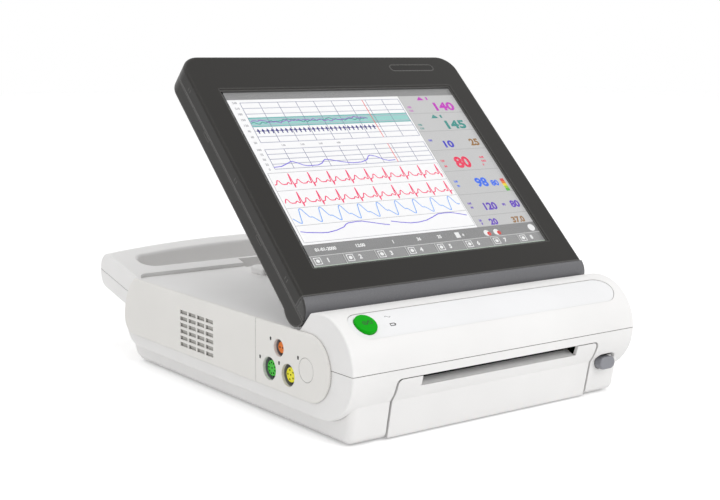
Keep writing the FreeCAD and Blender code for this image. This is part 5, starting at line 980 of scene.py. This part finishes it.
class MONITOR_OT_snap_marks(bpy.types.Operator):
    """Raises the mould's tick pairs and snap outlines along the screen's sides"""
    bl_idname = "monitor.snap_marks"
    bl_label = "Snap marks"

    def execute(self, context):
        for side, name, corner in SIDES:
            lines = []
            for y in TICK_PLACES:
                for place in (y - TICK_APART / 2, y + TICK_APART / 2):
                    lines.append(upright_line(side * place, TICK_LOW, TICK_HIGH, TICK_WIDE))
            for ends in NOTCH_PLACES:
                left, right = sorted(side * end for end in ends)
                lines += outline(left, NOTCH_LOW, right, NOTCH_HIGH, NOTCH_LINE)
            face = screen_box("rear_cover")[corner].x
            # The marks' pale finish is a painted highlight where the raised marks catch the light
            hand_over(filled(lines), f"{name}_snap_marks", "screen", "pc_charcoal_highlit",
                      SCREEN @ Matrix.Translation((face, 0, 0)) @ side_turn(side))
        return {"FINISHED"}


RELEASE_TURNS, HEAD_TURNS, COIL_STEPS = 6, 3, 18


class MONITOR_OT_springs(bpy.types.Operator):
    """Winds the release button's spring and the two springs that press the print head"""
    bl_idname = "monitor.springs"
    bl_label = "Springs"

    def coil(self, radius, long, turns):
        """A spring of round wire that stands upright on the origin."""
        wire = self.wire
        piece = begin("circle", vertices=8, radius=wire, rotation=(math.pi / 2, 0, 0))
        bpy.ops.transform.translate(value=(radius - wire, 0, wire))
        bpy.ops.object.mode_set(mode="OBJECT")
        settle(piece)
        apply_modifier(piece, "SCREW", axis="Z", angle=math.tau, screw_offset=(long - 2 * wire) / turns,
                       iterations=turns, steps=COIL_STEPS, render_steps=COIL_STEPS)
        bpy.ops.object.mode_set(mode="EDIT")
        bpy.ops.mesh.select_all(action="SELECT")
        bpy.ops.mesh.fill_holes(sides=0)
        close()
        return piece

    def execute(self, context):
        self.wire = context.scene.monitor_sizes.wire
        low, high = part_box("release_spring")
        spring = self.coil((high.x - low.x) / 2, high.y - low.y, RELEASE_TURNS)
        place = Matrix.Translation(((low.x + high.x) / 2, low.y, (low.z + high.z) / 2))
        hand_over(spring, "release_coil", "base", "steel_zinc_plated",
                  place @ Matrix.Rotation(-math.pi / 2, 4, "X"), stands_for=("release_spring",))
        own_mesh(spring)
        low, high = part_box("head_springs")
        radius = (high.y - low.y) / 2
        spring = self.coil(radius, high.z - low.z, HEAD_TURNS)
        ends = (low.x + radius, high.x - radius)
        places = [Matrix.Translation((x, low.y + radius, low.z)) for x in ends]
        hand_over(copies(spring, places), "head_coils", "base", "steel_zinc_plated",
                  stands_for=("head_springs",))
        return {"FINISHED"}


PLUNGER_TALL = 0.6 * MM
# The dome's rounding and the step round its plunger, as shares of its size
DOME_ROUND, DOME_STEP = 0.45, 1 / 5


class MONITOR_OT_key_dome(bpy.types.Operator):
    """Shapes the rubber dome under the power button"""
    bl_idname = "monitor.key_dome"
    bl_label = "Key dome"

    def execute(self, context):
        inward, travel = PRESS_IN, JOINTS["power_press"]["range_m"][1]
        low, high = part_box("power_dome")
        middle, radius = (low + high) / 2, (high.x - low.x) / 2
        tall = (high.z - low.z - 2 * radius * abs(inward.y)) / abs(inward.z)
        deep = tall - PLUNGER_TALL
        piece = begin("cylinder", vertices=32, radius=radius, depth=deep, location=(0, 0, -PLUNGER_TALL / 2))
        pick(piece, "EDGE", lambda one, two: min(one.z, two.z) > 0)
        bpy.ops.mesh.bevel(offset=DOME_ROUND * min(deep, radius), segments=5)
        raise_top(piece, radius * DOME_STEP, PLUNGER_TALL)
        close()
        place = Matrix.Translation(middle) @ Matrix.Rotation(PRESS_LEAN, 4, "X")
        hand_over(piece, "key_dome", "base", "rubber_black", place, stands_for=("power_dome",))
        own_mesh(piece)
        return {"FINISHED"}


HOUSING_SCREWS = {"across": 132.0, "along": (130.0, 262.0), "head_r": 3.4, "head_tall": 2.6, "shank_r": 1.6}
SCREEN_SCREWS = {"across": 135.0, "along": (40.0, 125.0, 228.0), "head_r": 2.8, "head_tall": 1.8,
                 "shank_r": 1.4}
# A head's rounding and its cross, as shares of its radius
HEAD_ROUND, CROSS_WIDE = 1 / 5, 1 / 4


class MONITOR_OT_screws(bpy.types.Operator):
    """Builds the cross-recessed screws under the base and behind the screen"""
    bl_idname = "monitor.screws"
    bl_label = "Screws"

    def screw(self, head_r, head_tall, shank_r, long):
        """A screw whose head's face lies at the origin and looks down; its shank runs upwards."""
        piece = begin("cylinder", vertices=32, radius=head_r * MM, depth=head_tall * MM,
                      location=(0, 0, head_tall / 2 * MM))
        pick(piece, "EDGE", lambda one, two: max(one.z, two.z) < 0)
        bpy.ops.mesh.bevel(offset=head_r * MM * HEAD_ROUND, segments=3)
        raise_top(piece, (head_r - shank_r) * MM, long - head_tall * MM)
        close()
        for wide, deep in ((head_r, head_r * CROSS_WIDE), (head_r * CROSS_WIDE, head_r)):
            cutter = begin("cube", size=MM)
            bpy.ops.transform.resize(value=(wide, deep, head_tall), center_override=(0, 0, 0))
            close()
            cut(piece, cutter)
        return piece

    def set_of(self, name, node, box, body, frame_place, across, along, **sizes):
        """Copies of one screw on both sides, at every place along the depth or up the screen."""
        low, high = box
        piece = self.screw(long=high.z - low.z, **sizes)
        places = [Matrix.Translation((side * across * MM, y, low.z)) for side in (LEFT, RIGHT) for y in along]
        hand_over(copies(piece, places), name, body, "steel_zinc_plated", frame_place,
                  stands_for=(node,))

    def execute(self, context):
        sizes = dict(HOUSING_SCREWS, along=[at(0, y, 0).y for y in HOUSING_SCREWS["along"]])
        self.set_of("housing_screw_set", "housing_screws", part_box("housing_screws"), "base", None, **sizes)
        sizes = dict(SCREEN_SCREWS, along=[y * MM for y in SCREEN_SCREWS["along"]])
        self.set_of("screen_screw_set", "screen_screws", screen_box("screen_screws"), "screen", SCREEN,
                    **sizes)
        return {"FINISHED"}


CATCH_ROUND = 0.46


class MONITOR_OT_catch_nub(bpy.types.Operator):
    """Rounds the catch that the folded screen rests on"""
    bl_idname = "monitor.catch_nub"
    bl_label = "Catch nub"

    def execute(self, context):
        low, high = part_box("catch_block")
        middle, size = (low + high) / 2, high - low
        piece = begin("cube", size=MM, location=middle)
        bpy.ops.transform.resize(value=size / MM, center_override=middle)
        # The edges of its foot stay sharp, so that it stands flat on the deck
        pick(piece, "EDGE", lambda one, two: max(one.z, two.z) > 0)
        bpy.ops.mesh.bevel(offset=CATCH_ROUND * min(size), segments=6)
        close()
        hand_over(piece, "catch_nub", "base", "abs_white_moulded",
                  stands_for=("catch_block",))
        return {"FINISHED"}


# The pack's sheets, and the paper's share of their spacing, thicker than real so that the folds show
SHEETS, SHEET_SHARE = 38, 0.55


class MONITOR_OT_paper(bpy.types.Operator):
    """Folds the pack of chart paper to and fro in its tray"""
    bl_idname = "monitor.paper"
    bl_label = "Chart paper"

    def execute(self, context):
        low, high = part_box("paper_pack")
        step = (high.z - low.z) / SHEETS
        thick = step * SHEET_SHARE
        long = high.y - low.y - thick
        piece = begin_point((low.x, low.y + thick / 2, low.z + step / 2))
        for sheet in range(SHEETS):
            extrude(0, long if sheet % 2 == 0 else -long, 0)
            if sheet < SHEETS - 1:
                extrude(0, 0, step)
        bpy.ops.mesh.select_all(action="SELECT")
        extrude(high.x - low.x, 0, 0)
        close()
        apply_modifier(piece, "SOLIDIFY", thickness=thick, offset=0.0, use_even_offset=True)
        hand_over(piece, "folded_paper", "paper_drawer", "paper_thermal", stands_for=("paper_pack",))
        return {"FINISHED"}


# The photograph's width and focal length in pixels, and the width that Blender takes for its sensor
PHOTO_WIDE, FOCAL_PIXELS, SENSOR_WIDE = 720, 1298.8, 36.0
CAMERA_TARGET = Vector((18.76, 4.74, 105.56)) * MM
CAMERA_AZIMUTH, CAMERA_RISE, CAMERA_ROLL = [math.radians(turn) for turn in (-37.02, 9.06, 0.47)]
CAMERA_DISTANCE = 1177.6 * MM
# Each lamp's name, place, size and power
LAMPS = (("key_light", (0.6, -2.3, 1.8), 1.5, 19.0), ("top_light", (-0.5, -0.9, 2.8), 1.0, 7.5),
         ("rear_light", (-0.6, 1.3, 2.1), 1.4, 5.5))
LAMP_TARGET = Vector((0, 0, 0.1))
SKY_LIGHT = 0.74
FLOOR_WIDE, FLOOR_DROP, FLOOR_LIFT = 12.0, 0.2 * MM, 0.3


def aim(place, target, roll=0.0):
    """Where an object stands that looks from a place to a target."""
    turn = (target - place).to_track_quat("-Z", "Y").to_matrix().to_4x4()
    return Matrix.Translation(place) @ turn @ Matrix.Rotation(roll, 4, "Z")


class MONITOR_OT_stage(bpy.types.Operator):
    """Sets out the floor, the studio light and the camera"""
    bl_idname = "monitor.stage"
    bl_label = "Set the stage"

    def seen_share(self, tree):
        """One for rays that show the background itself, and nought for those that light the object."""
        rays = add_node(tree, "LightPath").outputs
        seen = rays["Is Camera Ray"]
        for kind in ("Is Glossy Ray", "Is Transmission Ray"):
            seen = add_node(tree, "Math", {0: seen, 1: rays[kind]}, operation="MAXIMUM")
        return seen

    def execute(self, context):
        scene = context.scene
        scene.view_settings.view_transform = "Standard"
        bpy.ops.object.select_all(action="DESELECT")
        bpy.ops.mesh.primitive_plane_add(size=FLOOR_WIDE, location=(0, 0, -FLOOR_DROP))
        floor = context.object
        floor.name = "studio_floor"
        # Matt studio paint, lifted to white where it is seen
        tree, shader = new_finish("studio_floor_paint")
        floor.data.materials.append(FINISHES["studio_floor_paint"])
        lift = add_node(tree, "Math", {0: self.seen_share(tree), 1: FLOOR_LIFT}, operation="MULTIPLY")
        fill(tree, shader, {"Base Color": scene.monitor_colours.floor, "Roughness": 0.9,
                            "Emission Color": linear("#FFFFFF"), "Emission Strength": lift})

        world = scene.world = bpy.data.worlds.new("studio")
        world.use_nodes = True
        tree = world.node_tree
        tree.nodes.clear()
        strength = add_node(tree, "MapRange", {"Value": self.seen_share(tree), "To Min": SKY_LIGHT,
                                               "To Max": 1.0})
        sky = add_node(tree, "Background", {"Color": linear("#FFFFFF"), "Strength": strength})
        add_node(tree, "OutputWorld", {"Surface": sky})

        for name, place, size, power in LAMPS:
            bpy.ops.object.select_all(action="DESELECT")
            bpy.ops.object.light_add(type="AREA")
            lamp = context.object
            lamp.name = name
            lamp.data.size = size
            lamp.data.energy = power
            lamp.matrix_world = aim(Vector(place), LAMP_TARGET)

        bpy.ops.object.camera_add()
        camera = context.object
        camera.name = "photo_camera"
        camera.data.sensor_width = SENSOR_WIDE
        camera.data.lens = SENSOR_WIDE * FOCAL_PIXELS / PHOTO_WIDE
        camera.data.clip_start, camera.data.clip_end = 0.05, 50.0
        flat = math.cos(CAMERA_RISE)
        back = Vector((math.sin(CAMERA_AZIMUTH) * flat, -math.cos(CAMERA_AZIMUTH) * flat,
                       math.sin(CAMERA_RISE)))
        camera.matrix_world = aim(CAMERA_TARGET + back * CAMERA_DISTANCE, CAMERA_TARGET, CAMERA_ROLL)
        scene.camera = camera
        return {"FINISHED"}


class MONITOR_PT_panel(bpy.types.Panel):
    """The monitor's building steps, in order"""
    bl_label = "Fetal monitor"
    bl_idname = "MONITOR_PT_panel"
    bl_space_type = "VIEW_3D"
    bl_region_type = "UI"
    bl_category = "Monitor"

    def draw(self, context):
        for step in STEPS:
            self.layout.operator(step.bl_idname)


STEPS = (MONITOR_OT_stage, MONITOR_OT_finish_solids, MONITOR_OT_display_module, MONITOR_OT_picture,
         MONITOR_OT_socket_cores, MONITOR_OT_vent_gauze, MONITOR_OT_printed_marks, MONITOR_OT_snap_marks,
         MONITOR_OT_springs, MONITOR_OT_key_dome, MONITOR_OT_screws, MONITOR_OT_catch_nub, MONITOR_OT_paper)
CLASSES = (MonitorColours, MonitorSizes, *STEPS, MONITOR_PT_panel)


def register():
    for item in CLASSES:
        bpy.utils.register_class(item)
    bpy.types.Scene.monitor_colours = PointerProperty(type=MonitorColours)
    bpy.types.Scene.monitor_sizes = PointerProperty(type=MonitorSizes)


def unregister():
    del bpy.types.Scene.monitor_sizes
    del bpy.types.Scene.monitor_colours
    for item in reversed(CLASSES):
        bpy.utils.unregister_class(item)


def main():
    register()
    for step in STEPS:
        group, name = step.bl_idname.split(".")
        getattr(getattr(bpy.ops, group), name)()


if __name__ == "__main__":
    main()
